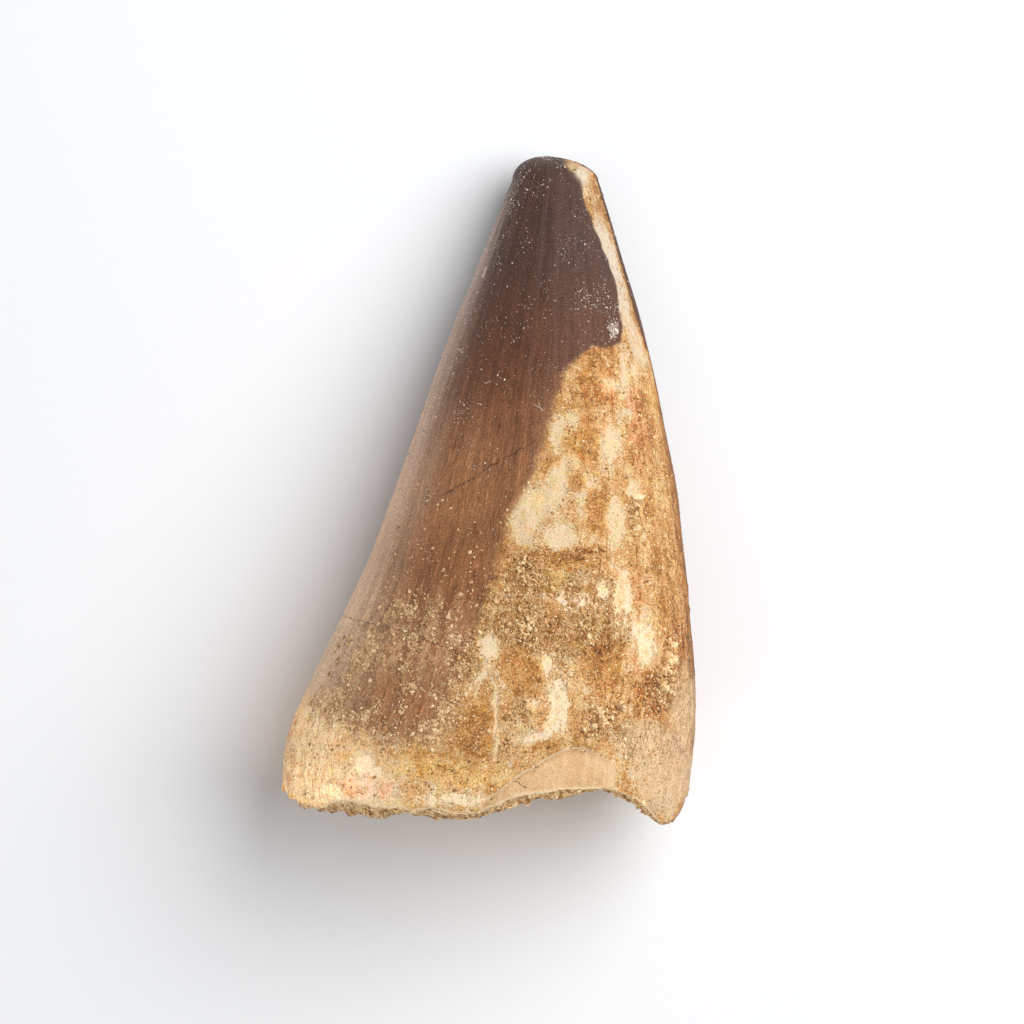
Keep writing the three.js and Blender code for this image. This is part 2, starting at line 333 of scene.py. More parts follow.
def distance_to_outline(x, y, outline):
    """Signed distance in plan to a closed outline of straight sides, positive inside. The sign
    counts how often a ray to the right crosses the sides."""
    nearest = np.full(x.shape, np.inf)
    inside = np.zeros(x.shape, bool)
    for (ax, ay), (bx, by) in zip(outline, np.roll(outline, -1, axis=0)):
        length = (bx - ax) ** 2 + (by - ay) ** 2
        t = np.clip(((x - ax) * (bx - ax) + (y - ay) * (by - ay)) / length, 0, 1)
        nearest = np.minimum(nearest, np.hypot(x - lerp(ax, bx, t), y - lerp(ay, by, t)))
        if ay != by:
            crossing = ax + (y - ay) * (bx - ax) / (by - ay)
            inside ^= ((ay > y) != (by > y)) & (x < crossing)
    return np.where(inside, nearest, -nearest)


def patch_field(x, y, patches):
    """How deep a place in plan lies inside the nearest of some ellipses, in millimetres: half the
    narrow side at a centre, 0 on an edge, and negative outside."""
    field = np.full(x.shape, OUTSIDE)
    for cx, cy, half_width, half_length, *turn in patches:
        turned = math.radians(sum(turn))
        c, s = math.cos(turned), math.sin(turned)
        across = (c * (x - cx) + s * (y - cy)) / half_width
        along = (c * (y - cy) - s * (x - cx)) / half_length
        depth = (1.0 - np.hypot(across, along)) * min(half_width, half_length)
        field = np.maximum(field, depth)
    return field


# ---------------------------------------------------------------------------------------------
# The crown's surface
# ---------------------------------------------------------------------------------------------

def ring(y, angle):
    """The point of the ring at height y at an angle that starts at +X and turns towards +Z. A
    ring is the polar superellipse r = (|cos/a|^p + |sin/h|^p)^(-1/p), limited by the facet's
    plane on the right and by z = 0 below."""
    left, right, waist, crest, back = (
        curve_through(STATIONS[:, 0], STATIONS[:, column], y) for column in range(1, 6)
    )
    half_width = (right - left) / 2
    above = np.sin(angle) >= 0
    rise = np.where(above, crest - waist, waist - back)
    power = np.where(above, TOP_ROUNDNESS, BACK_ROUNDNESS)
    across = np.abs(np.cos(angle) / half_width) ** power
    upright = np.abs(np.sin(angle) / rise) ** power
    radius = (across + upright) ** (-1 / power)
    depth = FACET_DEPTH * smooth((y - FACET_FROM) / (FACET_FULL - FACET_FROM))
    tilt = np.radians(lerp(*FACET_TILTS, smooth((y - FACET_FULL) / (TIP_END - FACET_FULL))))
    to_plane = np.hypot(half_width * np.cos(tilt), (crest - waist) * np.sin(tilt)) - depth
    towards = np.cos(angle - tilt)
    cut = (depth > 0) & (towards > 0.1)
    radius = np.where(cut, np.minimum(radius, to_plane / np.maximum(towards, 0.1)), radius)
    x = (left + right) / 2 + radius * np.cos(angle)
    z = np.maximum(waist + radius * np.sin(angle), 0.0)
    return x, z


def rim_height(angle):
    """The height in Y of the broken rim around the tooth, with a fine ragged edge."""
    x, z = ring(np.full(angle.shape, RIM_ABOVE[0, 1]), angle)
    above = smooth((np.sin(angle) + 0.25) / 0.5)
    rim = lerp(
        curve_through(RIM_BELOW[:, 0], RIM_BELOW[:, 1], x),
        curve_through(RIM_ABOVE[:, 0], RIM_ABOVE[:, 1], x),
        above,
    )
    place = np.stack([x, z, np.zeros_like(x)], -1)
    return rim + 0.12 * lattice_noise(place, 1.2, 11, 4)


def crown_grid():
    """The undisplaced crown as arrays of shape (ring, point): x, y, z, the angle, and how far in
    from the rim a point of the fracture face lies (0 on the wall)."""
    turn = np.arange(AROUND) * 2 * np.pi / AROUND
    angle = turn + CROWDING * np.cos(turn)
    rim = rim_height(angle)

    # The fracture face: its rings crowd towards the rim
    share = 1.0 - (1.0 - np.arange(1, BASE_RINGS + 1)[:, None] / (BASE_RINGS + 1)) ** 1.6
    edge_x, edge_z = ring(rim, angle)
    swell = SWELL_HEIGHT * smooth((share - SWELL_FROM) / (SWELL_TO - SWELL_FROM))
    swell = swell * (1 - smooth((share - SHELL_EDGE + 0.02) / 0.02))
    swell = swell * (1 - 0.8 * smooth(edge_x / 3.0))
    hollow = HOLLOW_DEPTH * (1 + 1.2 * share**2 * smooth((edge_x - 2.0) / 4.0))
    level = RIM_MEAN + hollow * (1 - share**2) + (rim - RIM_MEAN) * share**5
    base = [
        HOLLOW_X + (edge_x - HOLLOW_X) * share,
        level - swell,
        HOLLOW_Z + (edge_z - HOLLOW_Z) * share,
    ]

    # The wall: evenly from the rim to the shoulder of the tip
    climb = np.linspace(0, 1, WALL_RINGS)[:, None]
    wall_y = lerp(rim, TIP_SHOULDER, climb)
    wall_x, wall_z = ring(wall_y, np.broadcast_to(angle, wall_y.shape))

    # The worn tip: a dome that is a little blunter on its left
    lift = np.arange(1, TIP_RINGS + 1)[:, None] / (TIP_RINGS + 1) * np.pi / 2
    out = np.cos(lift) + 0 * angle
    tip_power = 1.9 - 0.15 * np.cos(angle)
    tip = [
        lerp(APEX_X, wall_x[-1], out),
        lerp(TIP_SHOULDER, TIP_END, (1 - out**tip_power) ** (1 / tip_power)),
        lerp(APEX_Z, wall_z[-1], out),
    ]

    x, y, z = (np.vstack(rows) for rows in zip(base, (wall_x, wall_y, wall_z), tip))
    inward = np.vstack([1 - share + 0 * angle, np.zeros((WALL_RINGS + TIP_RINGS, AROUND))])
    return x, y, z, np.broadcast_to(angle, x.shape), inward


def grid_normals(points):
    """Unit normals of a closed ring grid: the cross product of the steps around and along."""
    around = np.roll(points, -1, axis=1) - np.roll(points, 1, axis=1)
    along = np.gradient(points, axis=0)
    normals = np.cross(along, around)
    return normals / np.maximum(np.linalg.norm(normals, axis=-1, keepdims=True), 1e-9)


def upper_face(y, angle, wobble):
    """1 on the upper face and 0 on the back. They meet just under the widest line on the left. On
    the right the enamel of the back climbs above that line, the more so towards the tip."""
    turned = (angle + np.pi) % (2 * np.pi) - np.pi
    climb = -14.0 + 17.0 * smooth((y + 12.0) / 7.0) + 3.0 * smooth((y + 5.0) / 29.0)
    sway = 1.5 + 4.0 * smooth((y - 18.0) / 4.0)
    on_right = smooth((turned - np.radians(climb + sway * wobble)) / 0.1 + 0.5)
    on_left = smooth((np.sin(angle) + 0.16) / 0.2)
    return np.where(np.cos(angle) > 0, on_right, on_left)


def crown_fields(x, y, z, angle, inward):
    """Where each finish lies, as arrays over the grid. Distances are in millimetres and positive
    inside a zone. The plan outlines hold on the upper face, bent a little by noise. The back has
    broader zones of its own, from noise and height alone."""
    place = np.stack([x, y, z], -1)
    wide = lattice_noise(place, 3.2, 21, 3)
    tight = lattice_noise(place, 1.1, 22, 3)
    px = x + 0.1 * wide + 0.16 * lattice_noise(place, 1.5, 24, 3)
    py = y + 0.12 * wide + 0.2 * lattice_noise(place, 1.5, 25, 3)
    bent_x = px + 0.2 * lattice_noise(place, 1.3, 26, 3)
    bent_y = py + 0.3 * lattice_noise(place, 1.3, 27, 3)
    above = upper_face(y, angle, wide)

    softness = lerp(0.9, 0.2, smooth((y - 8.0) / 4.0)) + 0.6 * smooth((-11.0 - y) / 4.0)
    softness = softness + 0.4 * smooth((y - 21.5) / 2.0)
    enamel_above = distance_to_outline(px, py, ENAMEL_OUTLINE) / softness
    root_line = -15.5 + 1.2 * wide + 0.8 * np.sin(x * 0.35)
    bare = patch_field(px + 0.7 * wide, py + 0.9 * tight, BACK_PATCHES["bare"])
    enamel_back = np.minimum((y - root_line) / 0.8, -bare / 0.5)
    field = {"enamel": lerp(np.clip(enamel_back, -1.5, 1.5), np.clip(enamel_above, -1.5, 1.5), above)}

    back = {
        "ivory": patch_field(px + 0.5 * tight, py + 0.5 * wide, BACK_PATCHES["ivory"]),
        "ochre": 0.6 * wide - 0.2,
        "rust": 0.8 * tight - 0.5,
        "crust": 1.2 * wide + 0.2 * (-y - 17.0),
        "dust": wide - 0.6,
        "olive": -0.8 * wide - 0.3,
        "dark": 1.5 * tight - 1.1,
    }
    for name, patches in PATCHES.items():
        field[name] = lerp(back.get(name, -1.0), patch_field(bent_x, bent_y, patches), above)
    field["chip"] = lerp(-1.0, distance_to_outline(x, y, CHIP_OUTLINE), above)
    lip_above = y - curve_through(LIP[:, 0], LIP[:, 1], x) + 0.06 * tight
    lip_below = y - y[BASE_RINGS] - 0.45 + 0.25 * tight
    field["lip"] = lerp(lip_below, lip_above, above)
    field["inward"] = inward
    return field


def crown_relief(place, angle, field):
    """How far each point moves along its normal, in millimetres: broad unevenness, the enamel's
    thickness, lumps of crust, the chip's floor, the flaking root, the crumbling lip and the rough
    fracture face."""
    x, y = place[..., 0], place[..., 1]
    wall = field["inward"] == 0
    flow = np.stack([FLOW_RADIUS * np.cos(angle), FLOW_RADIUS * np.sin(angle), 0.12 * y], -1)
    enamel = smooth(field["enamel"] * 0.5 + 0.5)
    crust = smooth(field["crust"] * 1.2 + 0.5) * (1 - enamel)
    dust = smooth(field["dust"] * 1.2 + 0.4)
    lumps = lattice_noise(place, 0.8, 31, 3)
    relief = 0.10 * lattice_noise(place, 7.0, 32, 2)
    relief += 0.05 * lattice_noise(flow, 1.6, 33, 2)
    relief += 0.07 * enamel
    relief += (1 - enamel) * (0.05 * lattice_noise(place, 0.6, 34, 2) - 0.02)
    relief += crust * (0.04 + 0.08 * lumps)
    relief += smooth(field["dark"] * 2 + 0.5) * (1 - enamel) * 0.1 * np.maximum(lumps, -0.2)
    relief += dust * 0.05 * np.maximum(lumps, 0)
    relief -= 0.04 * smooth(field["ivory"] * 3) * (1 - enamel)

    # The chip's floor, the flaking root on the left and the crumbling lip
    floor = smooth(field["chip"] / 0.22) * smooth((9.6 - x) / 4.0 + 0.15)
    relief -= 0.34 * floor
    root = smooth((-15.0 - y) / 5.0) * smooth((-11.0 - x) / 3.0)
    flakes = 0.2 * lattice_noise(flow, 0.6, 35, 3) + 0.1 * lattice_noise(place, 0.7, 41, 3)
    relief += root * (flakes - 0.14)
    broken_lip = smooth(-field["lip"] / 0.5)
    relief -= broken_lip * (0.3 + 0.16 * lattice_noise(place, 0.5, 39, 2))
    relief += smooth((-21.6 - y) / 1.5) * 0.05 * lattice_noise(place, 0.8, 36, 3)

    # The fracture face, rough and sunken in its core
    inside = smooth(field["inward"] / 0.05)
    fracture = 0.3 * lattice_noise(place, 3.6, 37, 3) + 0.26 * lattice_noise(place, 0.9, 38, 3)
    fracture -= 0.5 * smooth((field["inward"] - 0.36 + 0.1 * lattice_noise(place, 2.4, 40, 2)) / 0.08)
    return np.where(wall, relief, inside * fracture)


def grid_faces(rings, around):
    """Quads between neighbouring rings, as indices into rows of points, wound to face out."""
    row, column = np.meshgrid(np.arange(rings - 1), np.arange(around), indexing="ij")
    after = (column + 1) % around
    quads = np.stack([
        row * around + column, (row + 1) * around + column,
        (row + 1) * around + after, row * around + after,
    ], -1)
    return quads.reshape(-1, 4)


def mesh_object(name, vertices, faces, material, smooth_shading=True):
    """A mesh object at the origin from vertices in millimetres and a list of faces."""
    mesh = bpy.data.meshes.new(name)
    mesh.from_pydata((vertices * MM).tolist(), [], faces)
    mesh.polygons.foreach_set("use_smooth", np.full(len(mesh.polygons), smooth_shading))
    mesh.materials.append(material)
    mesh.update()
    piece = bpy.data.objects.new(name, mesh)
    bpy.context.scene.collection.objects.link(piece)
    return piece


def set_attribute(mesh, name, values):
    """Stores one number, or three, for each vertex."""
    kind, key = ("FLOAT", "value") if values.ndim == 1 else ("FLOAT_VECTOR", "vector")
    attribute = mesh.attributes.new(name, kind, "POINT")
    attribute.data.foreach_set(key, np.ascontiguousarray(values, np.float32).ravel())


def build_crown(relief_scale, material):
    """The crown: the grid is displaced along its normals, the fracture face follows its displaced
    rim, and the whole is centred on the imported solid, closed with a pole at each end, and carries
    its zones as vertex attributes."""
    x, y, z, angle, inward = crown_grid()
    low, high = np.array(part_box("tooth")) / MM
    shift = (low[0] + high[0]) / 2 - (x.min() + x.max()) / 2
    field = crown_fields(x, y, z, angle, inward)
    place = np.stack([x, y, z], -1)
    moved = place + grid_normals(place) * (relief_scale * crown_relief(place, angle, field))[..., None]
    # The rim's shift is handed on to the fracture face, where it soon fades
    rim_shift = (moved - place)[BASE_RINGS]
    moved[:BASE_RINGS] += rim_shift * (1 - inward[:BASE_RINGS, :, None]) ** 8
    bottom, top = moved[..., 1].min(), moved[..., 1].max()
    moved[..., 1] = lerp(low[1], high[1], (moved[..., 1] - bottom) / (top - bottom))
    moved[..., 2] = np.maximum(moved[..., 2], 0.0)
    moved[..., 0] += shift

    rings = moved.shape[0]
    middle, apex = moved[0].mean(0), np.array([APEX_X + shift, high[1], APEX_Z])
    vertices = np.vstack([moved.reshape(-1, 3), middle, apex])
    first = np.arange(AROUND)
    after = (first + 1) % AROUND
    last = (rings - 1) * AROUND
    poles = [
        np.stack([np.full(AROUND, rings * AROUND), first, after], -1),
        np.stack([last + first, np.full(AROUND, rings * AROUND + 1), last + after], -1),
    ]
    faces = grid_faces(rings, AROUND).tolist() + poles[0].tolist() + poles[1].tolist()
    piece = mesh_object("crown", vertices, faces, material)

    def with_poles(values):
        flat = values.reshape(-1, *values.shape[2:])
        return np.concatenate([flat, values[0].mean(0)[None], values[-1].mean(0)[None]])

    reach = np.ones(rings)
    reach[-TIP_RINGS:] = 1 - smooth(np.arange(1, TIP_RINGS + 1) / (TIP_RINGS + 1))
    turned = FLOW_RADIUS * reach[:, None, None] * np.stack([np.cos(angle), np.sin(angle)], -1)
    set_attribute(piece.data, "flow", with_poles(np.concatenate([turned, y[..., None]], -1)))
    for name, fields in ATTRIBUTES.items():
        set_attribute(piece.data, name, with_poles(np.stack([field[each] for each in fields], -1)))
    set_attribute(piece.data, "inward", with_poles(inward))
    return piece


def read_fields(mesh):
    """The crown's zones again, each as one number for each vertex, and how far it stands from the
    widest line: 0 on that line, and 1 on the crest and at the middle of the back."""

    def numbers(name, key, size):
        values = np.empty(len(mesh.vertices) * size, np.float32)
        mesh.attributes[name].data.foreach_get(key, values)
        return values.reshape(-1, size).T

    field = {"inward": numbers("inward", "value", 1)[0]}
    field["upright"] = np.abs(numbers("flow", "vector", 3)[1]) / FLOW_RADIUS
    for name, fields in ATTRIBUTES.items():
        field.update(zip(fields, numbers(name, "vector", 3)))
    return field


def vertex_places(mesh):
    """The vertices in millimetres, one row for each."""
    places = np.empty(len(mesh.vertices) * 3, np.float32)
    mesh.vertices.foreach_get("co", places)
    return places.reshape(-1, 3).astype(float) / MM


# ---------------------------------------------------------------------------------------------
# Grains
# ---------------------------------------------------------------------------------------------

def icosahedron():
    """The twelve corners and twenty faces of a regular icosahedron of radius 1."""
    g = (1 + math.sqrt(5)) / 2
    corners = np.array([
        (-1, g, 0), (1, g, 0), (-1, -g, 0), (1, -g, 0), (0, -1, g), (0, 1, g),
        (0, -1, -g), (0, 1, -g), (g, 0, -1), (g, 0, 1), (-g, 0, -1), (-g, 0, 1),
    ]) / math.hypot(1, g)
    faces = np.array([
        (0, 11, 5), (0, 5, 1), (0, 1, 7), (0, 7, 10), (0, 10, 11), (1, 5, 9), (5, 11, 4),
        (11, 10, 2), (10, 7, 6), (7, 1, 8), (3, 9, 4), (3, 4, 2), (3, 2, 6), (3, 6, 8),
        (3, 8, 9), (4, 9, 5), (2, 4, 11), (6, 2, 10), (8, 6, 7), (9, 8, 1),
    ])
    return corners, faces


def octahedron():
    """The six corners and eight faces of a regular octahedron of radius 1."""
    corners = np.array([(1, 0, 0), (-1, 0, 0), (0, 1, 0), (0, -1, 0), (0, 0, 1), (0, 0, -1)], float)
    faces = np.array([
        (0, 2, 4), (2, 1, 4), (1, 3, 4), (3, 0, 4), (2, 0, 5), (1, 2, 5), (3, 1, 5), (0, 3, 5),
    ])
    return corners, faces


def scatter(mesh, weight, count, rng):
    """Random places on a mesh, in millimetres, with their normals. A triangle is drawn in
    proportion to its area times the mean weight of its corners, and a point in it is
    a(1 - sqrt u) + b sqrt u (1 - v) + c v sqrt u. Where the mesh rests on the floor has none."""
    mesh.calc_loop_triangles()
    corners = np.empty(len(mesh.loop_triangles) * 3, np.int32)
    mesh.loop_triangles.foreach_get("vertices", corners)
    corners = corners.reshape(-1, 3)
    points = vertex_places(mesh)
    a, b, c = (points[corners[:, k]] for k in range(3))
    cross = np.cross(b - a, c - a)
    area = np.linalg.norm(cross, axis=1)
    clear_of_floor = smooth((points[:, 2] - 0.15) / 0.15)
    chance = area * (np.clip(weight, 0, None) * clear_of_floor)[corners].mean(1)
    drawn = rng.choice(len(corners), count, p=chance / chance.sum())
    u, v = np.sqrt(rng.random((count, 1))), rng.random((count, 1))
    places = a[drawn] * (1 - u) + b[drawn] * (u * (1 - v)) + c[drawn] * (u * v)
    return places, cross[drawn] / area[drawn, None]


def random_turns(count, rng):
    """Random rotation matrices from random unit quaternions."""
    q = rng.normal(size=(count, 4))
    w, x, y, z = (q / np.linalg.norm(q, axis=1, keepdims=True)).T
    return np.stack([
        1 - 2 * (y * y + z * z), 2 * (x * y - w * z), 2 * (x * z + w * y),
        2 * (x * y + w * z), 1 - 2 * (x * x + z * z), 2 * (y * z - w * x),
        2 * (x * z - w * y), 2 * (y * z + w * x), 1 - 2 * (x * x + y * y),
    ], -1).reshape(-1, 3, 3)


def grain_radii(typical, spread, count, rng):
    """Radii in millimetres whose logarithms are normally spread about the typical one."""
    return typical / MM * np.exp(rng.normal(0, spread, count)).clip(0.4, 2.8)


def build_grains(name, solid, places, normals, radii, rng, material, sink=0.5, flatness=0.0):
    """Many grains as one mesh: each is the solid with its corners pushed in or out at random,
    stretched, turned, flattened along the surface's normal and sunk into the surface by a share
    of its radius. The attribute tone is one random number for each grain."""
    corners, faces = solid
    count, n = len(places), len(corners)
    bumpy = corners * rng.uniform(0.7, 1.15, (count, n, 1))
    stretched = bumpy * rng.uniform(0.5, 1.5, (count, 1, 3)) * radii[:, None, None]
    turned = np.einsum("gij,gnj->gni", random_turns(count, rng), stretched)
    rise = np.einsum("gni,gi->gn", turned, normals)
    turned -= flatness * rise[..., None] * normals[:, None]
    height = radii * (1 - flatness) * (1 - 2 * sink)
    vertices = turned + (places + normals * height[:, None])[:, None]
    vertices[..., 2] = np.maximum(vertices[..., 2], 0.0)
    offsets = np.arange(count)[:, None, None] * n
    piece = mesh_object(name, vertices.reshape(-1, 3), (faces + offsets).reshape(-1, 3).tolist(),
                        material, smooth_shading=False)
    set_attribute(piece.data, "tone", np.repeat(rng.random(count), n))
    return piece


def grit_weight(places, field):
    """Grit lies thick on the crust and its dark spots, and thinly on bare dentine and on the
    broken base."""
    bare = 1 - smooth(field["enamel"] * 0.5 + 0.5)
    clusters = smooth(lattice_noise(places, 1.2, 51, 2) * 1.5 + 0.4)
    crust = smooth(field["crust"] * 1.2 + 0.3)
    dark = smooth(field["dark"] * 3 + 0.5)
    weight = bare * (0.04 + crust * (0.06 + 0.3 * clusters) + 1.6 * dark)
    weight *= 1 - smooth(field["ivory"] * 4 + 0.6)
    weight *= 1 - smooth(field["chip"] * 3 + 0.3)
    weight *= smooth((field["upright"] - 0.3) / 0.3)
    return np.where((field["lip"] < 0) | (field["inward"] > 0), 0.08, weight)


def dust_weight(places, field):
    """Dust lies on stained dentine and on the crust, and hardly on ivory, chip or wrinkles."""
    clusters = smooth(lattice_noise(places, 0.8, 54, 4) * 2.0 + 0.1)
    stained = smooth(np.maximum(np.maximum(field["ochre"], field["rust"]), field["olive"]) + 0.6)
    weight = 0.15 + clusters * (0.3 + 0.4 * stained + smooth(field["crust"] * 1.2 + 0.3))
    weight *= smooth(-field["enamel"] * 0.7 + 0.2)
    weight *= 1 - 0.95 * smooth(field["ivory"] * 5 + 0.8)
    weight *= 1 - smooth(field["chip"] * 3 + 0.3)
    weight *= 1 - 0.7 * smooth(field["wrinkle"] * 2 + 0.5)
    weight *= 1 - 0.8 * smooth((-4.0 - places[:, 0]) / 4.0)
    weight *= smooth((field["upright"] - 0.15) / 0.3) * (field["inward"] == 0)
    return weight


def crumb_weight(places, field):
    """Crumbs cluster in the dusty zones, and a few lie on the rest of the lower enamel."""
    clusters = smooth(lattice_noise(places, 0.7, 52, 4) * 3.4 - 0.9)
    weight = smooth(field["dust"] * 0.9 + 0.4) * clusters * smooth(field["enamel"] + 1.0)
    weight *= 1 - smooth(field["clear"] * 2 + 0.5)
    weight += 0.015 * smooth(field["enamel"] + 1.2) * smooth((2.0 - places[:, 1]) / 14.0)
    weight *= smooth((field["upright"] - 0.25) / 0.3)
    return weight


def speck_weight(places, field):
    """Specks lie all over the enamel, more towards the tip and along the widest line, and thickest
    on one flake beside the split strip."""
    x, y, z = places.T
    clusters = smooth(lattice_noise(places, 1.4, 53, 3) * 1.6 + 0.1)
    upper_right = smooth(1.4 - np.hypot((x - 6.8) / 1.6, (y - 16.0) / 3.0))
    beside_strip = smooth(1.3 - np.hypot((x - 8.9) / 0.6, (y - 12.4) / 1.4))
    flake = smooth(1.2 - np.hypot((x - 9.2) / 0.4, (y - 11.7) / 0.7)) * (z > 5.0)
    weight = 0.3 + smooth((y + 2.0) / 12.0) + 2.4 * upper_right + 1.6 * beside_strip
    weight += 2.4 * (1 - field["upright"]) * smooth((y + 8.0) / 6.0)
    weight = (0.1 + clusters) * weight + 30 * flake
    weight *= smooth(field["enamel"] * 2.0)
    return weight


def in_dark_spot(spots):
    """Whether places lie in one of the first three dark patches, where the grit is coarsest."""
    return patch_field(spots[:, 0], spots[:, 1], PATCHES["dark"][:3]) > -0.1


def on_bright_flake(spots):
    """Whether places lie on the flake of pale grains beside the split strip."""
    return np.hypot(spots[:, 0] - 9.2, spots[:, 1] - 11.6) < 0.6


def strew(name, solid, weigh, count, radius, material, seed, spread, sink, flatness=0.0, coarser=None):
    """Strews one kind of grain over the crown, by a weight made from its places and zones. Where
    some grains are larger, coarser holds a test of their places, a share and a factor."""
    mesh = bpy.data.objects["crown"].data
    weight = weigh(vertex_places(mesh), read_fields(mesh))
    rng = np.random.default_rng(seed)
    spots, normals = scatter(mesh, weight, count, rng)
    radii = grain_radii(radius, spread, count, rng)
    if coarser:
        test, share, factor = coarser
        radii *= np.where(test(spots) & (rng.random(count) < share), factor, 1.0)
    return build_grains(name, solid, spots, normals, radii, rng, material, sink, flatness)


# ---------------------------------------------------------------------------------------------
# Materials
# ---------------------------------------------------------------------------------------------

def tint(red, green, blue):
    """A colour given in 0 to 255 display values, as linear numbers."""
    display = np.array([red, green, blue]) / 255
    linear = np.where(display <= 0.04045, display / 12.92, ((display + 0.055) / 1.055) ** 2.4)
    return tuple(float(value) for value in linear)


class Graph:
    """Builds one material out of short calls. Each call adds a node and returns its output; an
    input is another call's output, or a number or colour."""

    def __init__(self, name):
        self.material = bpy.data.materials.new(name)
        self.material.use_nodes = True
        self.tree = self.material.node_tree
        self.shader = self.tree.nodes["Principled BSDF"]

    def node(self, kind, inputs, **settings):
        made = self.tree.nodes.new(kind)
        for key, value in settings.items():
            setattr(made, key, value)
        for key, value in inputs.items():
            self.feed(made.inputs[key], value)
        return made

    def feed(self, socket, value):
        if isinstance(value, bpy.types.NodeSocket):
            self.tree.links.new(value, socket)
        elif socket.type == "RGBA" and len(value) == 3:
            socket.default_value = (*value, 1.0)
        else:
            socket.default_value = value

    def attribute(self, name):
        return self.node("ShaderNodeAttribute", {}, attribute_name=name)

    def split(self, vector):
        return self.node("ShaderNodeSeparateXYZ", {0: vector}).outputs

    def scaled(self, vector, factors):
        made = self.node("ShaderNodeVectorMath", {0: vector, 1: factors}, operation="MULTIPLY")
        return made.outputs[0]

    def math(self, operation, a, b=0.0, c=0.0):
        return self.node("ShaderNodeMath", {0: a, 1: b, 2: c}, operation=operation).outputs[0]

    def times(self, first, *others):
        for other in others:
            first = self.math("MULTIPLY", first, other)
        return first

    def total(self, first, *others):
        for other in others:
            first = self.math("ADD", first, other)
        return first

    def swing(self, value, strength):
        """Turns a noise around 0.5 into one around 0, times a strength."""
        return self.math("MULTIPLY_ADD", value, strength, -0.5 * strength)

    def noise(self, vector, scale, detail=3.0, roughness=0.5, warp=0.0):
        inputs = {"Vector": vector, "Scale": scale, "Detail": detail, "Roughness": roughness}
        return self.node("ShaderNodeTexNoise", {**inputs, "Distortion": warp}).outputs["Fac"]

    def cells(self, vector, scale):
        """Voronoi cells: how far a place is from its cell's centre, and the cell's random number."""
        made = self.node("ShaderNodeTexVoronoi", {"Vector": vector, "Scale": scale})
        return made.outputs["Distance"], self.split(made.outputs["Color"])[0]

    def step(self, value, low, high, to_low=0.0, to_high=1.0):
        """A smooth step from to_low to to_high as the value goes from low to high."""
        ends = {"From Min": low, "From Max": high, "To Min": to_low, "To Max": to_high}
        made = self.node(
            "ShaderNodeMapRange", {"Value": value, **ends}, interpolation_type="SMOOTHSTEP")
        return made.outputs["Result"]

    def line(self, noise, width):
        """1 where a noise crosses its middle value, which draws thin winding lines."""
        return self.step(self.math("ABSOLUTE", self.swing(noise, 1.0)), width, width * 0.3)

    def mix(self, share, a, b, blend="MIX"):
        made = self.tree.nodes.new("ShaderNodeMix")
        made.data_type = "RGBA"
        made.blend_type = blend
        for socket, value in zip((made.inputs[0], made.inputs[6], made.inputs[7]), (share, a, b)):
            self.feed(socket, value)
        return made.outputs[2]

    def painted(self, colour, *layers, blend="MIX"):
        """Lays layers over a colour in turn. Each is a share and what lies on top."""
        for share, over in layers:
            colour = self.mix(share, colour, over, blend)
        return colour

    def shaded(self, colour, *layers):
        """Multiplies a colour by others in turn. Each comes with its share."""
        return self.painted(colour, *layers, blend="MULTIPLY")

    def ramp(self, value, stops):
        made = self.node("ShaderNodeValToRGB", {0: value})
        elements = made.color_ramp.elements
        while len(elements) < len(stops):
            elements.new(0.5)
        for element, (position, colour) in zip(elements, stops):
            element.position = position
            element.color = (*colour, 1.0)
        return made.outputs[0]

    def bump(self, height, distance, strength=1.0, normal=None):
        inputs = {"Height": height, "Distance": distance * MM, "Strength": strength}
        if normal is not None:
            inputs["Normal"] = normal
        return self.node("ShaderNodeBump", inputs).outputs[0]

    def finish(self, **inputs):
        for key, value in inputs.items():
            self.feed(self.shader.inputs[key.replace("_", " ")], value)
        return self.material


def millimetres(graph):
    """Object coordinates in millimetres."""
    place = graph.node("ShaderNodeTexCoord", {}).outputs["Object"]
    return graph.scaled(place, (1000.0, 1000.0, 1000.0))


def fine_lines(g, place, wander, lines):
    """How much of each place on the upper face is one of some fine lines. For each line it takes
    the distance from it, bent by a noise, and whether the place lies between its two ends. The
    lines fade out just under the tooth's widest line, which climbs towards the root."""
    x, y, z = g.split(place)
    total = 0.0
    for x0, y0, x1, y1, width in lines:
        length = math.hypot(x1 - x0, y1 - y0)
        ux, uy = (x1 - x0) / length, (y1 - y0) / length
        off = g.total(g.times(x, -uy), g.times(y, ux), x0 * uy - y0 * ux, wander)
        run = g.total(g.times(x, ux), g.times(y, uy), -x0 * ux - y0 * uy)
        line = g.step(g.math("ABSOLUTE", off), width, width * 0.25)
        ends = g.times(g.step(run, -0.05, 0.1), g.step(run, length + 0.05, length - 0.1))
        total = g.math("MAXIMUM", total, g.times(line, ends))
    level = g.math("MULTIPLY_ADD", y, FADE_SLOPE, z)
    return g.times(total, g.step(level, FADE_LOW, FADE_HIGH))


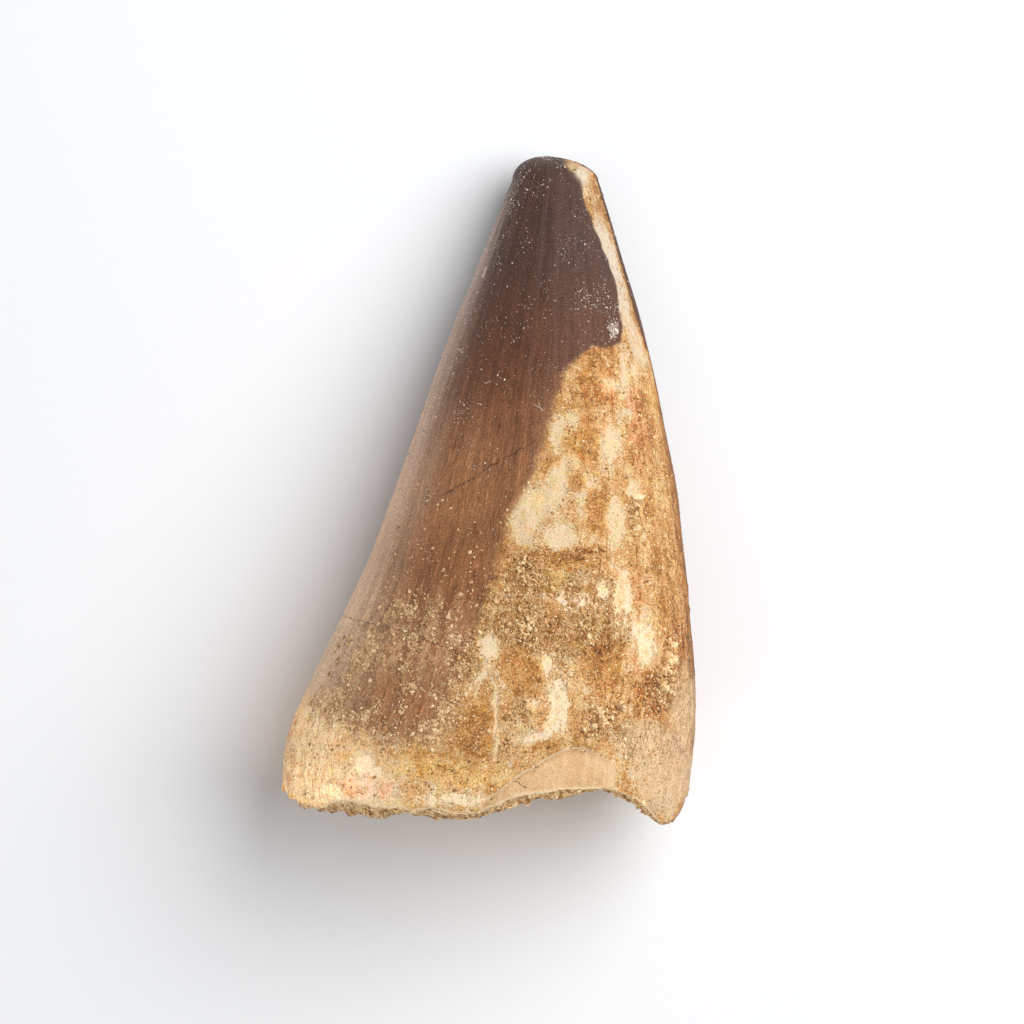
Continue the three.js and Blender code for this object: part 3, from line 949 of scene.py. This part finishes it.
class CrownPatterns:
    """The noises and zones that the crown's finishes share."""

    def __init__(self, g):
        self.g = g
        self.place = millimetres(g)
        self.flow = g.attribute("flow").outputs["Vector"]
        self.across, rise, self.height = g.split(self.flow)
        self.upward = g.step(rise, -9.0, -1.0, 0.2, 1.0)  # 1 on the upper face, 0.2 underneath
        self.inward = g.attribute("inward").outputs["Fac"]
        self.field = {}
        for name, fields in ATTRIBUTES.items():
            self.field.update(zip(fields, g.split(g.attribute(name).outputs["Vector"])))
        self.fine = g.noise(self.place, 5.5, 4.0, 0.72)
        self.medium = g.noise(g.scaled(self.place, (1.0, 0.7, 1.0)), 2.2, 4.0, 0.65)
        self.broad = g.noise(g.scaled(self.place, (1.0, 0.7, 1.0)), 0.55, 2.0)
        self.hue = g.noise(self.place, 1.5, 4.0, 0.65)
        self.streaks = g.noise(g.scaled(self.flow, (1.6, 1.6, 0.2)), 1.0, 3.0, 0.6)
        self.grain = g.noise(self.place, 9.0, 1.0, 0.7)
        self.ragged = g.total(g.swing(self.fine, 1.0), g.swing(self.medium, 1.8))
        self.crisp = g.total(g.swing(self.fine, 0.3), g.swing(self.medium, 1.9))
        wander = g.node("ShaderNodeTexNoise", {"Vector": self.place, "Scale": 3.0, "Detail": 3.0})
        ends = {0: wander.outputs["Color"], 1: self.place}
        bent = g.node("ShaderNodeVectorMath", ends, operation="ADD").outputs[0]
        self.sand_distance, self.sand_tone = g.cells(bent, 4.5)
        self.flake_tone = g.cells(bent, 1.6)[1]

    def region(self, across, height):
        """A step across the tooth times a step along it, each given as a step's numbers."""
        return self.g.times(self.g.step(self.across, *across), self.g.step(self.height, *height))

    def zone(self, name, spread=1.0, low=-0.12, high=0.12, bend=None):
        """The share of a zone at a place, with an edge that noise makes ragged."""
        bent = self.g.times(self.ragged if bend is None else bend, spread)
        return self.g.step(self.g.total(self.field[name], bent), low, high)


def enamel_colour(g, p, finish):
    """Brown enamel: darkest at the tip, streaked along the tooth, with fine striae on its lower
    half and a dusty, finely pitted left side that also carries painted light and a painted highlight."""
    # From 0 at a height of -20 to 1 at the tip, which is at 25
    along = g.math("MULTIPLY_ADD", p.height, 1 / 45, 20 / 45)
    along = g.total(along, g.swing(p.medium, 0.1), g.swing(p.streaks, 0.12))
    brown = g.ramp(along, (
        (0.13, finish.enamel_root), (0.27, finish.enamel_lower), (0.47, finish.enamel_middle),
        (0.65, finish.enamel_upper), (0.82, finish.enamel_tip)))
    bands = g.noise(g.scaled(p.flow, (0.9, 0.9, 0.09)), 1.0, 3.0, 0.6)
    brushed = g.noise(g.scaled(p.flow, (5.5, 5.5, 0.8)), 1.0, 3.0, 0.7)
    brown = g.shaded(
        brown,
        (g.step(p.broad, 0.42, 0.6, 0.0, 0.5), (0.84, 0.9, 0.96)),
        (g.step(p.hue, 0.5, 0.62, 0.0, 0.4), (1.05, 0.99, 0.93)),
        (g.step(bands, 0.46, 0.54), (1.18, 1.17, 1.16)),
        (g.step(brushed, 0.44, 0.56), (1.22, 1.21, 1.2)),
    )
    # Striae, which are strongest on the lower half
    lower = g.step(p.height, 13.0, 2.0, 0.2, 0.85)
    wavering = g.total(g.swing(p.broad, 0.6), g.swing(p.medium, 0.12))
    for spacing, width, strength, shade in STRIAE:
        place = g.scaled(p.flow, (spacing, spacing, 0.16 * spacing))
        thin = g.line(g.total(g.noise(place, 1.0, 1.0, 0.6, 0.3), g.times(wavering, 0.1)), width)
        present = g.step(g.noise(g.scaled(p.flow, (1.1, 1.1, 0.45)), spacing, 2.0), 0.42, 0.52)
        brown = g.shaded(brown, (g.times(thin, present, g.times(lower, strength)), shade))

    # The pale haze of the left flank, partly dust and partly a painted highlight of the light on that
    # side
    upper = g.math("MAXIMUM", p.height, 0.0)
    left = g.step(g.math("MULTIPLY_ADD", upper, 0.08, p.across), -8.6, -15.0)
    pitted = g.step(g.total(g.times(p.grain, 0.4), g.times(brushed, 0.6)), 0.38, 0.58, 0.5, 1.0)
    banded = g.step(g.total(bands, g.swing(p.medium, 0.4)), 0.38, 0.6, 0.6, 1.05)
    dust_and_painted_highlight = g.mix(g.step(p.height, 18.0, -8.0), tint(200, 172, 154), tint(236, 194, 152))
    strength = g.times(g.step(p.height, 22.0, 15.0), g.step(p.height, -4.0, -9.0, 0.5, 0.95))
    strength = g.times(strength, p.upward)
    brown = g.painted(brown, (g.times(left, pitted, g.times(banded, strength)), dust_and_painted_highlight))
    # A lighter middle on the left, which is painted light, a sandy band below it, and the palest rim on
    # the far left, which is a painted highlight
    painted_light_side = g.step(p.across, -2.0, -8.0)
    middle = g.step(g.math("ABSOLUTE", g.total(p.height, -1.5)), 7.0, 2.0)
    brown = g.shaded(brown, (g.times(painted_light_side, middle), (1.19, 1.25, 1.31)))
    sandy = g.times(g.step(p.height, -6.0, -10.5), g.step(p.height, -15.0, -11.5, 0.0, 0.45))
    sandy = g.times(sandy, g.step(g.total(p.medium, g.swing(bands, 0.8)), 0.42, 0.62))
    rim = g.times(p.region((-11.4, -14.1, 0.0, 0.5), (24.0, 19.0)), g.times(pitted, p.upward))
    painted_rim_highlight = g.mix(g.step(p.height, 16.0, 2.0), tint(224, 194, 176), tint(234, 194, 158))
    return g.painted(brown, (g.times(sandy, painted_light_side), tint(244, 200, 148)), (rim, painted_rim_highlight))


def stain_depth(g, p, clean, ochre, rust, crust, dark):
    """How deeply the dentine is stained, from below 0 (clean ivory) to above 1 (dark brown), with
    painted shade and painted light mixed in.
    """
    halo = g.math("MAXIMUM", p.zone("ivory", 1.5, -0.5, -0.2), p.zone("cream", 1.8, -0.15, 0.15))
    # Painted shade: a deeper stain towards the right edge and along its silhouette; painted light: a
    # shallower stain low on the left
    right = p.region((8.5, 13.5, 0.0, 0.08), (-18.0, -13.0))
    painted_shade_right_edge = p.region((13.3, 13.8, 0.0, 0.35), (9.0, 4.0, 0.3, 1.0))
    painted_light_low_left = p.region((-3.0, -9.0, 0.0, -0.22), (-14.0, -17.0, 0.3, 1.0))
    return g.total(
        g.swing(p.broad, 0.35), 0.5, g.times(ochre, 0.14), g.times(rust, 0.11),
        g.times(crust, 0.06), g.times(dark, 0.3), g.times(clean, -0.28), g.times(halo, -0.18),
        right, painted_light_low_left, painted_shade_right_edge,
        g.swing(p.medium, 0.8), g.swing(p.flake_tone, 0.32), g.swing(p.fine, 0.5),
        g.times(g.swing(p.streaks, 1.0), g.step(p.across, 3.0, 9.0)),
        g.times(g.swing(p.sand_tone, 0.35), g.total(crust, 0.3)),
    )


def dentine_colour(g, p, finish):
    """Bare dentine: how deeply it is stained runs from clean ivory to dark brown. The shades meet
    in crisp, irregular edges, since their ramp has narrow steps. Zones and noise set how deep the
    stain is, the stains shift its hue, and fine curls, flecks and pits lie on top."""
    bend = g.times(p.crisp, g.step(p.height, -12.0, -14.0, 1.1, 0.65))
    clean = p.zone("ivory", 1.0, -0.02, 0.03, bend)
    rust = p.zone("rust", 1.3, -0.2, 0.2)
    ochre = p.zone("ochre", 1.3, -0.2, 0.2)
    crust = g.times(p.zone("crust", 1.4, -0.25, 0.25), g.math("SUBTRACT", 1.0, clean))
    dark = p.zone("dark", 1.0, -0.1, 0.15)
    light_ochre = tuple((a + b) / 2 for a, b in zip(finish.cream, finish.ochre))
    colour = g.ramp(stain_depth(g, p, clean, ochre, rust, crust, dark), (
        (0.0, finish.ivory), (0.2, finish.ivory), (0.24, finish.cream), (0.36, finish.cream),
        (0.39, light_ochre), (0.48, light_ochre), (0.52, finish.ochre), (0.64, finish.ochre),
        (0.68, finish.brown), (0.84, finish.brown), (1.0, tint(118, 80, 50)),
    ))
    colour = g.shaded(
        colour,
        (g.step(p.hue, 0.5, 0.62, 0.0, 0.8), (1.04, 0.92, 0.9)),
        (g.step(p.hue, 0.47, 0.37, 0.0, 0.8), (0.99, 1.02, 0.8)),
        (g.times(ochre, 0.7), (1.02, 0.94, 0.76)),
        (g.times(rust, 0.9), (1.05, 0.89, 0.85)),
        (g.times(p.zone("yellow", 1.2, -0.4, 0.3), 0.7), (1.12, 1.1, 0.81)),
        (g.times(p.zone("olive", 1.2, -0.3, 0.3), 0.6), (0.92, 0.96, 0.84)),
        (g.times(p.zone("pink", 1.4, -0.15, 0.2), 0.55), (1.12, 1.1, 1.36)),
        (g.times(clean, g.step(p.height, -4.0, -9.0)), (1.13, 1.19, 1.28)),
        (g.step(p.height, 8.0, 15.0), (0.91, 1.0, 1.26)),
    )

    # Thin curls and outlines, flecks, the crevices between flakes of the root, and veins
    stained = g.math("SUBTRACT", 1.0, g.times(clean, 0.8))
    curls = g.line(g.noise(p.place, 3.6, 2.0, 0.6, 1.2), 0.035)
    curls = g.times(curls, stained, g.step(p.fine, 0.44, 0.56))
    curled = g.total(0.4, g.times(crust, 0.35), g.times(rust, 0.25), g.times(dark, 0.3))
    borders = g.times(g.line(p.hue, 0.022), stained, g.step(p.fine, 0.4, 0.5))
    flecks = g.noise(p.place, 7.5, 1.0, 0.6)
    crevices = g.line(g.noise(g.scaled(p.flow, (2.8, 2.8, 0.55)), 1.0, 3.0, 0.65, 0.8), 0.06)
    flaking = g.times(crevices, p.region((-8.5, -12.0), (-14.0, -16.5)), g.step(p.fine, 0.4, 0.52))
    veins = fine_lines(g, p.place, g.swing(p.medium, 1.2), VEINS)
    colour = g.painted(
        colour,
        (g.times(curls, curled), tint(112, 72, 42)),
        (g.times(borders, 0.35), tint(126, 80, 44)),
        (g.times(g.step(flecks, 0.62, 0.68), g.times(curled, stained)), tint(104, 70, 42)),
        (g.times(g.step(flecks, 0.37, 0.32), g.times(stained, 0.45)), tint(242, 210, 162)),
        (g.times(flaking, 0.7), tint(156, 112, 66)),
        (g.times(veins, 0.75), tint(238, 212, 168)),
    )
    # Painted light: paler towards the left, and palest low down near the base, where the faces turn
    # away from the key light
    colour = g.shaded(
        colour,
        (g.step(p.across, -2.0, -11.0), (1.24, 1.22, 1.2)),
        (p.region((-7.0, -12.5), (-12.5, -16.5)), (1.4, 1.38, 1.32)),
        (p.region((4.0, 0.0), (-19.6, -21.4)), (1.14, 1.14, 1.12)),
    )

    # A spot of rust, the wrinkles of the right corner, small pits, and specks on clean ivory
    embers = fine_lines(g, p.place, g.swing(p.fine, 0.3), EMBERS)
    wrinkled = p.zone("wrinkle", 1.0, -0.3, 0.3)
    leaning = g.node(
        "ShaderNodeVectorRotate", {"Vector": p.place, "Angle": math.radians(18.0)},
        rotation_type="Z_AXIS").outputs[0]
    lines = g.line(g.noise(g.scaled(leaning, (3.4, 0.7, 2.0)), 1.0, 1.5, 0.6, 0.5), 0.07)
    lines = g.times(lines, g.step(p.fine, 0.4, 0.5), g.step(p.height, -20.6, -19.4, 0.3, 1.0))
    pale = g.mix(g.step(p.hue, 0.4, 0.6), tint(228, 194, 156), tint(210, 178, 134))
    far, chosen = g.cells(p.place, 1.7)
    pits = g.times(g.step(far, 0.11, 0.05), g.step(chosen, 0.76, 0.8))
    specked = g.times(clean, g.step(g.total(flecks, g.swing(p.medium, 0.5)), 0.62, 0.66))
    colour = g.painted(
        colour,
        (g.times(embers, 0.85), tint(200, 82, 44)),
        (g.times(wrinkled, 0.75), pale),
        (g.times(lines, wrinkled, 0.7), tint(144, 106, 68)),
        (g.times(pits, 0.65), tint(92, 62, 42)),
        (g.times(specked, 0.6), tint(176, 140, 84)),
    )
    return colour, clean, crust


def fracture_colour(g, p, rubble):
    """The broken base: a rim of dense pale dentine with growth lines around a core of sandy fill.
    Where the two meet is bent by noise."""
    rings = g.node(
        "ShaderNodeVectorMath",
        {0: p.inward, 1: (GROWTH_DENSITY,) * 3, 2: g.scaled(p.place, (0.35, 0.35, 0.35))},
        operation="MULTIPLY_ADD").outputs[0]
    growth = g.noise(rings, 1.0, 3.0, 0.6)
    dense = g.ramp(g.total(growth, g.swing(p.fine, 0.5), g.swing(p.medium, 0.4)), (
        (0.3, tint(180, 136, 88)), (0.45, tint(210, 168, 116)), (0.6, tint(228, 194, 146))))
    core = g.step(g.total(p.inward, g.swing(p.broad, 0.3), g.swing(p.medium, 0.2)), 0.36, 0.44)
    fill = g.shaded(rubble, (0.6, (0.74, 0.66, 0.58)))
    return g.mix(g.step(p.inward, 0.05, 0.12), rubble, g.mix(core, dense, fill))


def crown_material(finish):
    """Brown enamel, stained dentine, crust and the rough fracture face in one material. Zones come
    from the vertex attributes, and fine noise breaks up their edges."""
    g = Graph("tooth_surface")
    p = CrownPatterns(g)
    bare, clean, crust = dentine_colour(g, p, finish)

    # The enamel's edge, which crumbles towards the root, and the dusty zones
    crumbling = g.step(p.height, -1.0, -8.0)
    raggedness = g.total(0.25, g.times(crumbling, 0.8))
    is_enamel = g.step(g.total(p.field["enamel"], g.times(p.ragged, raggedness)), -0.5, 0.5)
    fringe = g.times(g.step(p.field["enamel"], -1.3, -0.3), g.step(p.fine, 0.42, 0.6))
    crumbs = g.ramp(p.sand_tone, ((0.0, tint(206, 164, 118)), (1.0, tint(246, 216, 174))))
    flaky = g.step(g.noise(p.place, 4.2, 4.0, 0.75), 0.545, 0.575)
    dusty = g.times(p.zone("dust", 1.5, -0.1, 0.45), g.times(flaky, p.zone("clear", 1.2, 0.1, -0.3)))
    # The chip with a painted highlight along its edge, the lip, the rubble below it, cracks and
    # scratches
    chipped = g.step(p.field["chip"], -0.03, 0.06)
    peach = g.mix(g.step(p.streaks, 0.34, 0.66), tint(232, 196, 152), tint(222, 180, 132))
    peach = g.painted(peach, (g.step(p.fine, 0.5, 0.64, 0.0, 0.35), tint(190, 138, 88)))
    painted_chip_highlight = g.times(g.step(p.field["chip"], -0.14, -0.04), g.step(p.field["chip"], 0.06, 0.0))
    painted_chip_highlight = g.times(painted_chip_highlight, g.step(g.split(p.place)[0], 8.4, 6.4, 0.1, 0.6))
    lip = g.total(p.field["lip"], g.swing(p.medium, 0.5))
    lip_line = g.times(g.step(lip, 0.32, 0.14), g.step(lip, -0.06, 0.04))
    rubble = g.ramp(g.total(p.sand_tone, g.swing(p.medium, 0.8), g.swing(p.fine, 1.0)), (
        (0.0, tint(142, 96, 56)), (0.3, tint(206, 156, 100)), (0.6, tint(238, 196, 140)),
        (1.0, tint(254, 228, 184))))
    broken = g.math("MAXIMUM", g.step(lip, 0.02, -0.06), g.step(p.inward, 0.02, 0.03))
    wander = g.swing(g.noise(p.place, 1.4, 3.0, 0.6), 0.7)
    cracks = g.times(fine_lines(g, p.place, wander, CRACKS), g.step(p.fine, 0.36, 0.48))
    scratches = fine_lines(g, p.place, 0.0, SCRATCHES)
    colour = g.painted(
        bare,
        (g.times(fringe, crumbling, 0.5), tint(184, 136, 88)),
        (is_enamel, enamel_colour(g, p, finish)),
        (g.times(dusty, 0.75), crumbs),
        (g.times(chipped, 0.85), peach),
        (painted_chip_highlight, tint(244, 224, 186)),
        (g.times(lip_line, 0.7), tint(240, 214, 172)),
        (broken, fracture_colour(g, p, rubble)),
        (g.times(cracks, 0.8), tint(84, 54, 38)),
        (g.times(scratches, 0.6), tint(226, 206, 188)),
    )

    # Fine grain in the colour and the bumps, weaker where the surface is smooth
    not_enamel = g.math("SUBTRACT", 1.0, is_enamel)
    calm_left = g.times(not_enamel, g.step(p.across, -4.0, -10.0, 0.0, 0.7))
    calm = g.math("MAXIMUM", g.math("MAXIMUM", chipped, g.times(clean, not_enamel)), calm_left)
    grainy_share = g.math("MULTIPLY_ADD", calm, -0.6, 1.0)
    colour = g.shaded(colour, (grainy_share, g.math("MULTIPLY_ADD", p.grain, 1.8, 0.1)))
    grainy = g.math("MAXIMUM", crust, g.math("MAXIMUM", broken, dusty))
    rough_bare = g.times(not_enamel, g.math("SUBTRACT", 1.0, g.times(clean, 0.7)))
    uneven = g.math("MAXIMUM", rough_bare, g.step(p.across, -8.0, -13.0, 0.25, 1.0))
    normal = g.bump(g.times(p.fine, uneven), 0.1, 0.8)
    normal = g.bump(p.streaks, 0.05, 0.4, normal)
    normal = g.bump(g.times(grainy, p.sand_distance), -0.12, 0.8, normal)
    normal = g.bump(cracks, -0.06, 0.8, normal)

    roughness = g.painted(
        (0.75, 0.75, 0.75),
        (is_enamel, (0.45, 0.45, 0.45)),
        (g.times(clean, not_enamel), (0.5, 0.5, 0.5)),
        (g.step(p.fine, 0.45, 0.65, 0.0, 0.5), (0.8, 0.8, 0.8)),
    )
    sheen = p.region((-9.0, -13.0), (25.0, 19.0, 0.0, finish.sheen))
    return g.finish(
        Base_Color=colour, Roughness=roughness, Normal=normal, IOR=1.5,
        Specular_IOR_Level=finish.shine, Sheen_Weight=g.times(sheen, p.upward),
        Sheen_Roughness=0.33, Sheen_Tint=(1.0, 0.8, 0.67))


def grain_material(name, stops):
    """Sand grains: each has its own tone, mottled by a fine noise."""
    g = Graph(name)
    mottle = g.noise(millimetres(g), 12.0, 2.0)
    colour = g.ramp(g.total(g.attribute("tone").outputs["Fac"], g.swing(mottle, 0.35)), stops)
    return g.finish(
        Base_Color=colour, Roughness=g.step(mottle, 0.3, 0.7, 0.55, 0.85),
        Normal=g.bump(mottle, 0.03, 0.6), IOR=1.5, Specular_IOR_Level=0.3)


def floor_material(stage):
    """A plain pale sheet with the faintest tooth."""
    g = Graph("pale_sheet")
    deeper = tuple(value * 0.985 for value in stage.floor)
    colour = g.mix(g.noise(millimetres(g), 1.5, 3.0), deeper, stage.floor)
    return g.finish(Base_Color=colour, Roughness=0.9, Specular_IOR_Level=0.1)


# ---------------------------------------------------------------------------------------------
# Settings, operators and panel
# ---------------------------------------------------------------------------------------------

def colour_setting(name, description, default):
    return FloatVectorProperty(
        name=name, description=description, subtype="COLOR", size=3, min=0.0, max=1.0, default=default)


def share_setting(name, description, default, most=1.0):
    return FloatProperty(
        name=name, description=description, default=default, min=0.0, max=most, subtype="FACTOR")


def length_setting(name, description, default, least):
    return FloatProperty(
        name=name, description=description, default=default, min=least, unit="LENGTH",
        subtype="DISTANCE", precision=5)


def power_setting(name, description, default):
    return FloatProperty(name=name, description=description, default=default, min=0.0, unit="POWER")


def count_setting(name, description, default, most):
    return IntProperty(name=name, description=description, default=default, min=10, max=most)


class FossilFinish(bpy.types.PropertyGroup):
    relief: share_setting("Relief", "Strength of the surface relief, 1 is as found", 1.0, 2.0)
    shine: share_setting("Shine", "Strength of the reflections on the crown", 0.2)
    sheen: share_setting("Sheen", "Strength of the dusty sheen along the left side", 0.6)
    enamel_tip: colour_setting("Enamel tip", "Enamel at the tip", tint(76, 54, 45))
    enamel_upper: colour_setting("Enamel upper", "Enamel above the middle", tint(94, 59, 41))
    enamel_middle: colour_setting("Enamel middle", "Enamel half way down", tint(131, 88, 57))
    enamel_lower: colour_setting("Enamel lower", "Enamel below the middle", tint(132, 87, 56))
    enamel_root: colour_setting("Enamel root", "Enamel near the root", tint(149, 104, 70))
    ivory: colour_setting("Ivory", "Clean dentine", tint(221, 195, 157))
    cream: colour_setting("Cream", "Lightly stained dentine", tint(222, 182, 130))
    ochre: colour_setting("Ochre", "Stained dentine", tint(198, 144, 84))
    brown: colour_setting("Brown", "Deeply stained dentine", tint(166, 112, 60))


class FossilGrit(bpy.types.PropertyGroup):
    grains: count_setting("Grains", "How many sand grains cling to the crust", 4500, 9500)
    grain_radius: length_setting(
        "Grain radius", "Typical radius of a sand grain", 0.08 * MM, 0.02 * MM)
    dust: count_setting("Dust", "How many fine grains lie on the dentine", 20000, 24000)
    dust_radius: length_setting(
        "Dust radius", "Typical radius of a fine grain", 0.045 * MM, 0.01 * MM)
    crumbs: count_setting("Crumbs", "How many pale crumbs cling to the enamel", 10000, 24000)
    crumb_radius: length_setting("Crumb radius", "Typical radius of a crumb", 0.06 * MM, 0.02 * MM)
    specks: count_setting("Specks", "How many pale specks lie on the enamel", 11000, 20000)
    speck_radius: length_setting(
        "Speck radius", "Typical radius of a pale speck", 0.026 * MM, 0.01 * MM)
    dark_sand: colour_setting("Dark sand", "The darkest grains", tint(150, 104, 60))
    tan_sand: colour_setting("Tan sand", "The commonest grains", tint(212, 166, 108))
    pale_sand: colour_setting("Pale sand", "The palest grains", tint(246, 222, 176))


class FossilStage(bpy.types.PropertyGroup):
    camera_height: length_setting("Camera height", "Height of the camera above the floor", 0.455, 0.1)
    lens: FloatProperty(
        name="Lens", description="Focal length of the camera in millimetres", default=210.0, min=20.0)
    key_energy: power_setting("Key light", "Power of the large soft light", 1.92)
    key_size: length_setting("Key size", "Width of the large soft light", 0.4, 0.01)
    fill: FloatProperty(
        name="Fill", description="Strength of the even light from all sides", default=0.34, min=0.0)
    glow_energy: power_setting("Glow", "Power of the weak light from the lower left", 1.3)
    floor: colour_setting("Floor", "The sheet under the tooth", (0.9, 0.907, 0.917))


class FOSSIL_OT_crown(bpy.types.Operator):
    """Make the tooth's crown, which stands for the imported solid"""

    bl_idname = "fossil.crown"
    bl_label = "Crown"

    def execute(self, context):
        finish = context.scene.fossil_finish
        crown = build_crown(finish.relief, crown_material(finish))
        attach(crown, "root")
        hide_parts("tooth")
        return {"FINISHED"}


class FOSSIL_OT_grit(bpy.types.Operator):
    """Scatter sand grains over the crust and the broken base"""

    bl_idname = "fossil.grit"
    bl_label = "Grit"

    def execute(self, context):
        settings = context.scene.fossil_grit
        sand = grain_material("sand_grains", (
            (0.0, settings.dark_sand), (0.45, settings.tan_sand), (1.0, settings.pale_sand)))
        grit = strew(
            "grit", icosahedron(), grit_weight, settings.grains, settings.grain_radius, sand,
            seed=7, spread=0.42, sink=0.4, coarser=(in_dark_spot, 0.4, 2.0))
        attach(grit, "root")
        return {"FINISHED"}


class FOSSIL_OT_dust(bpy.types.Operator):
    """Scatter fine sand over the stained dentine"""

    bl_idname = "fossil.dust"
    bl_label = "Dust"

    def execute(self, context):
        settings = context.scene.fossil_grit
        sand = grain_material("fine_sand", (
            (0.0, tint(112, 76, 46)), (0.2, tint(166, 118, 70)), (0.55, settings.tan_sand),
            (1.0, settings.pale_sand)))
        dust = strew(
            "dust", octahedron(), dust_weight, settings.dust, settings.dust_radius, sand,
            seed=10, spread=0.4, sink=0.4, flatness=0.3)
        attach(dust, "root")
        return {"FINISHED"}


class FOSSIL_OT_crumbs(bpy.types.Operator):
    """Scatter flat pale crumbs over the enamel near the root"""

    bl_idname = "fossil.crumbs"
    bl_label = "Crumbs"

    def execute(self, context):
        settings = context.scene.fossil_grit
        chaff = grain_material("pale_crumbs", (
            (0.0, tint(146, 106, 66)), (0.4, tint(200, 158, 110)), (1.0, tint(238, 206, 162))))
        crumbs = strew(
            "crumbs", octahedron(), crumb_weight, settings.crumbs, settings.crumb_radius, chaff,
            seed=9, spread=0.6, sink=0.3, flatness=0.5)
        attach(crumbs, "root")
        return {"FINISHED"}


class FOSSIL_OT_specks(bpy.types.Operator):
    """Scatter fine pale specks over the brown enamel"""

    bl_idname = "fossil.specks"
    bl_label = "Specks"

    def execute(self, context):
        settings = context.scene.fossil_grit
        chalk = grain_material("pale_specks", ((0.0, tint(150, 124, 106)), (1.0, tint(244, 234, 220))))
        specks = strew(
            "specks", octahedron(), speck_weight, settings.specks, settings.speck_radius, chalk,
            seed=8, spread=0.5, sink=0.4, coarser=(on_bright_flake, 0.5, 2.4))
        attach(specks, "root")
        return {"FINISHED"}


class FOSSIL_OT_stage(bpy.types.Operator):
    """Add the floor, the soft lights and the camera that looks straight down"""

    bl_idname = "fossil.stage"
    bl_label = "Stage"

    def execute(self, context):
        scene = context.scene
        stage = scene.fossil_stage
        corners = np.array([(-1, -1, 0), (1, -1, 0), (1, 1, 0), (-1, 1, 0)]) * FLOOR_REACH
        sheet = floor_material(stage)
        floor = mesh_object("floor", corners, [(0, 1, 2, 3)], sheet, smooth_shading=False)

        for name, size, energy, place in (
            ("key", stage.key_size, stage.key_energy, KEY_PLACE),
            ("glow", GLOW_SIZE, stage.glow_energy, GLOW_PLACE),
        ):
            light = bpy.data.lights.new(name, "AREA")
            light.shape = "DISK"
            light.size = size
            light.energy = energy
            lamp = bpy.data.objects.new(name, light)
            lamp.location = place
            lamp.rotation_euler = (-lamp.location).to_track_quat("-Z", "Y").to_euler()
            scene.collection.objects.link(lamp)

        world = bpy.data.worlds.new("studio")
        world.use_nodes = True
        background = world.node_tree.nodes["Background"].inputs
        background["Color"].default_value = SKY_COLOUR
        background["Strength"].default_value = stage.fill
        scene.world = world

        low, high = (np.array(corner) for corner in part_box("tooth"))
        centre = (low + high) / 2
        data = bpy.data.cameras.new("camera")
        data.lens = stage.lens
        data.sensor_width = SENSOR_WIDTH
        camera = bpy.data.objects.new("camera", data)
        aside, below = CAMERA_SHIFT
        camera.location = (centre[0] + aside * MM, centre[1] + below * MM, stage.camera_height)
        scene.collection.objects.link(camera)
        scene.camera = camera
        scene.view_settings.view_transform = "Standard"
        return {"FINISHED"}


class FOSSIL_PT_panel(bpy.types.Panel):
    """Settings and buttons for the fossil tooth"""

    bl_idname = "FOSSIL_PT_panel"
    bl_label = "Fossil tooth"
    bl_space_type = "VIEW_3D"
    bl_region_type = "UI"
    bl_category = "Fossil"

    def draw(self, context):
        layout = self.layout
        scene = context.scene
        for group in (scene.fossil_finish, scene.fossil_grit, scene.fossil_stage):
            box = layout.box()
            for name in group.__annotations__:
                box.prop(group, name)
        for operator in OPERATORS:
            layout.operator(operator.bl_idname)


GROUPS = {"fossil_finish": FossilFinish, "fossil_grit": FossilGrit, "fossil_stage": FossilStage}
OPERATORS = (
    FOSSIL_OT_crown, FOSSIL_OT_grit, FOSSIL_OT_dust, FOSSIL_OT_crumbs, FOSSIL_OT_specks,
    FOSSIL_OT_stage,
)


def register():
    for made in (*GROUPS.values(), *OPERATORS, FOSSIL_PT_panel):
        bpy.utils.register_class(made)
    for name, group in GROUPS.items():
        setattr(bpy.types.Scene, name, PointerProperty(type=group))


def unregister():
    for name in GROUPS:
        delattr(bpy.types.Scene, name)
    for made in reversed((*GROUPS.values(), *OPERATORS, FOSSIL_PT_panel)):
        bpy.utils.unregister_class(made)


def main():
    register()
    bpy.ops.fossil.crown()
    bpy.ops.fossil.grit()
    bpy.ops.fossil.dust()
    bpy.ops.fossil.crumbs()
    bpy.ops.fossil.specks()
    bpy.ops.fossil.stage()


if __name__ == "__main__":
    main()
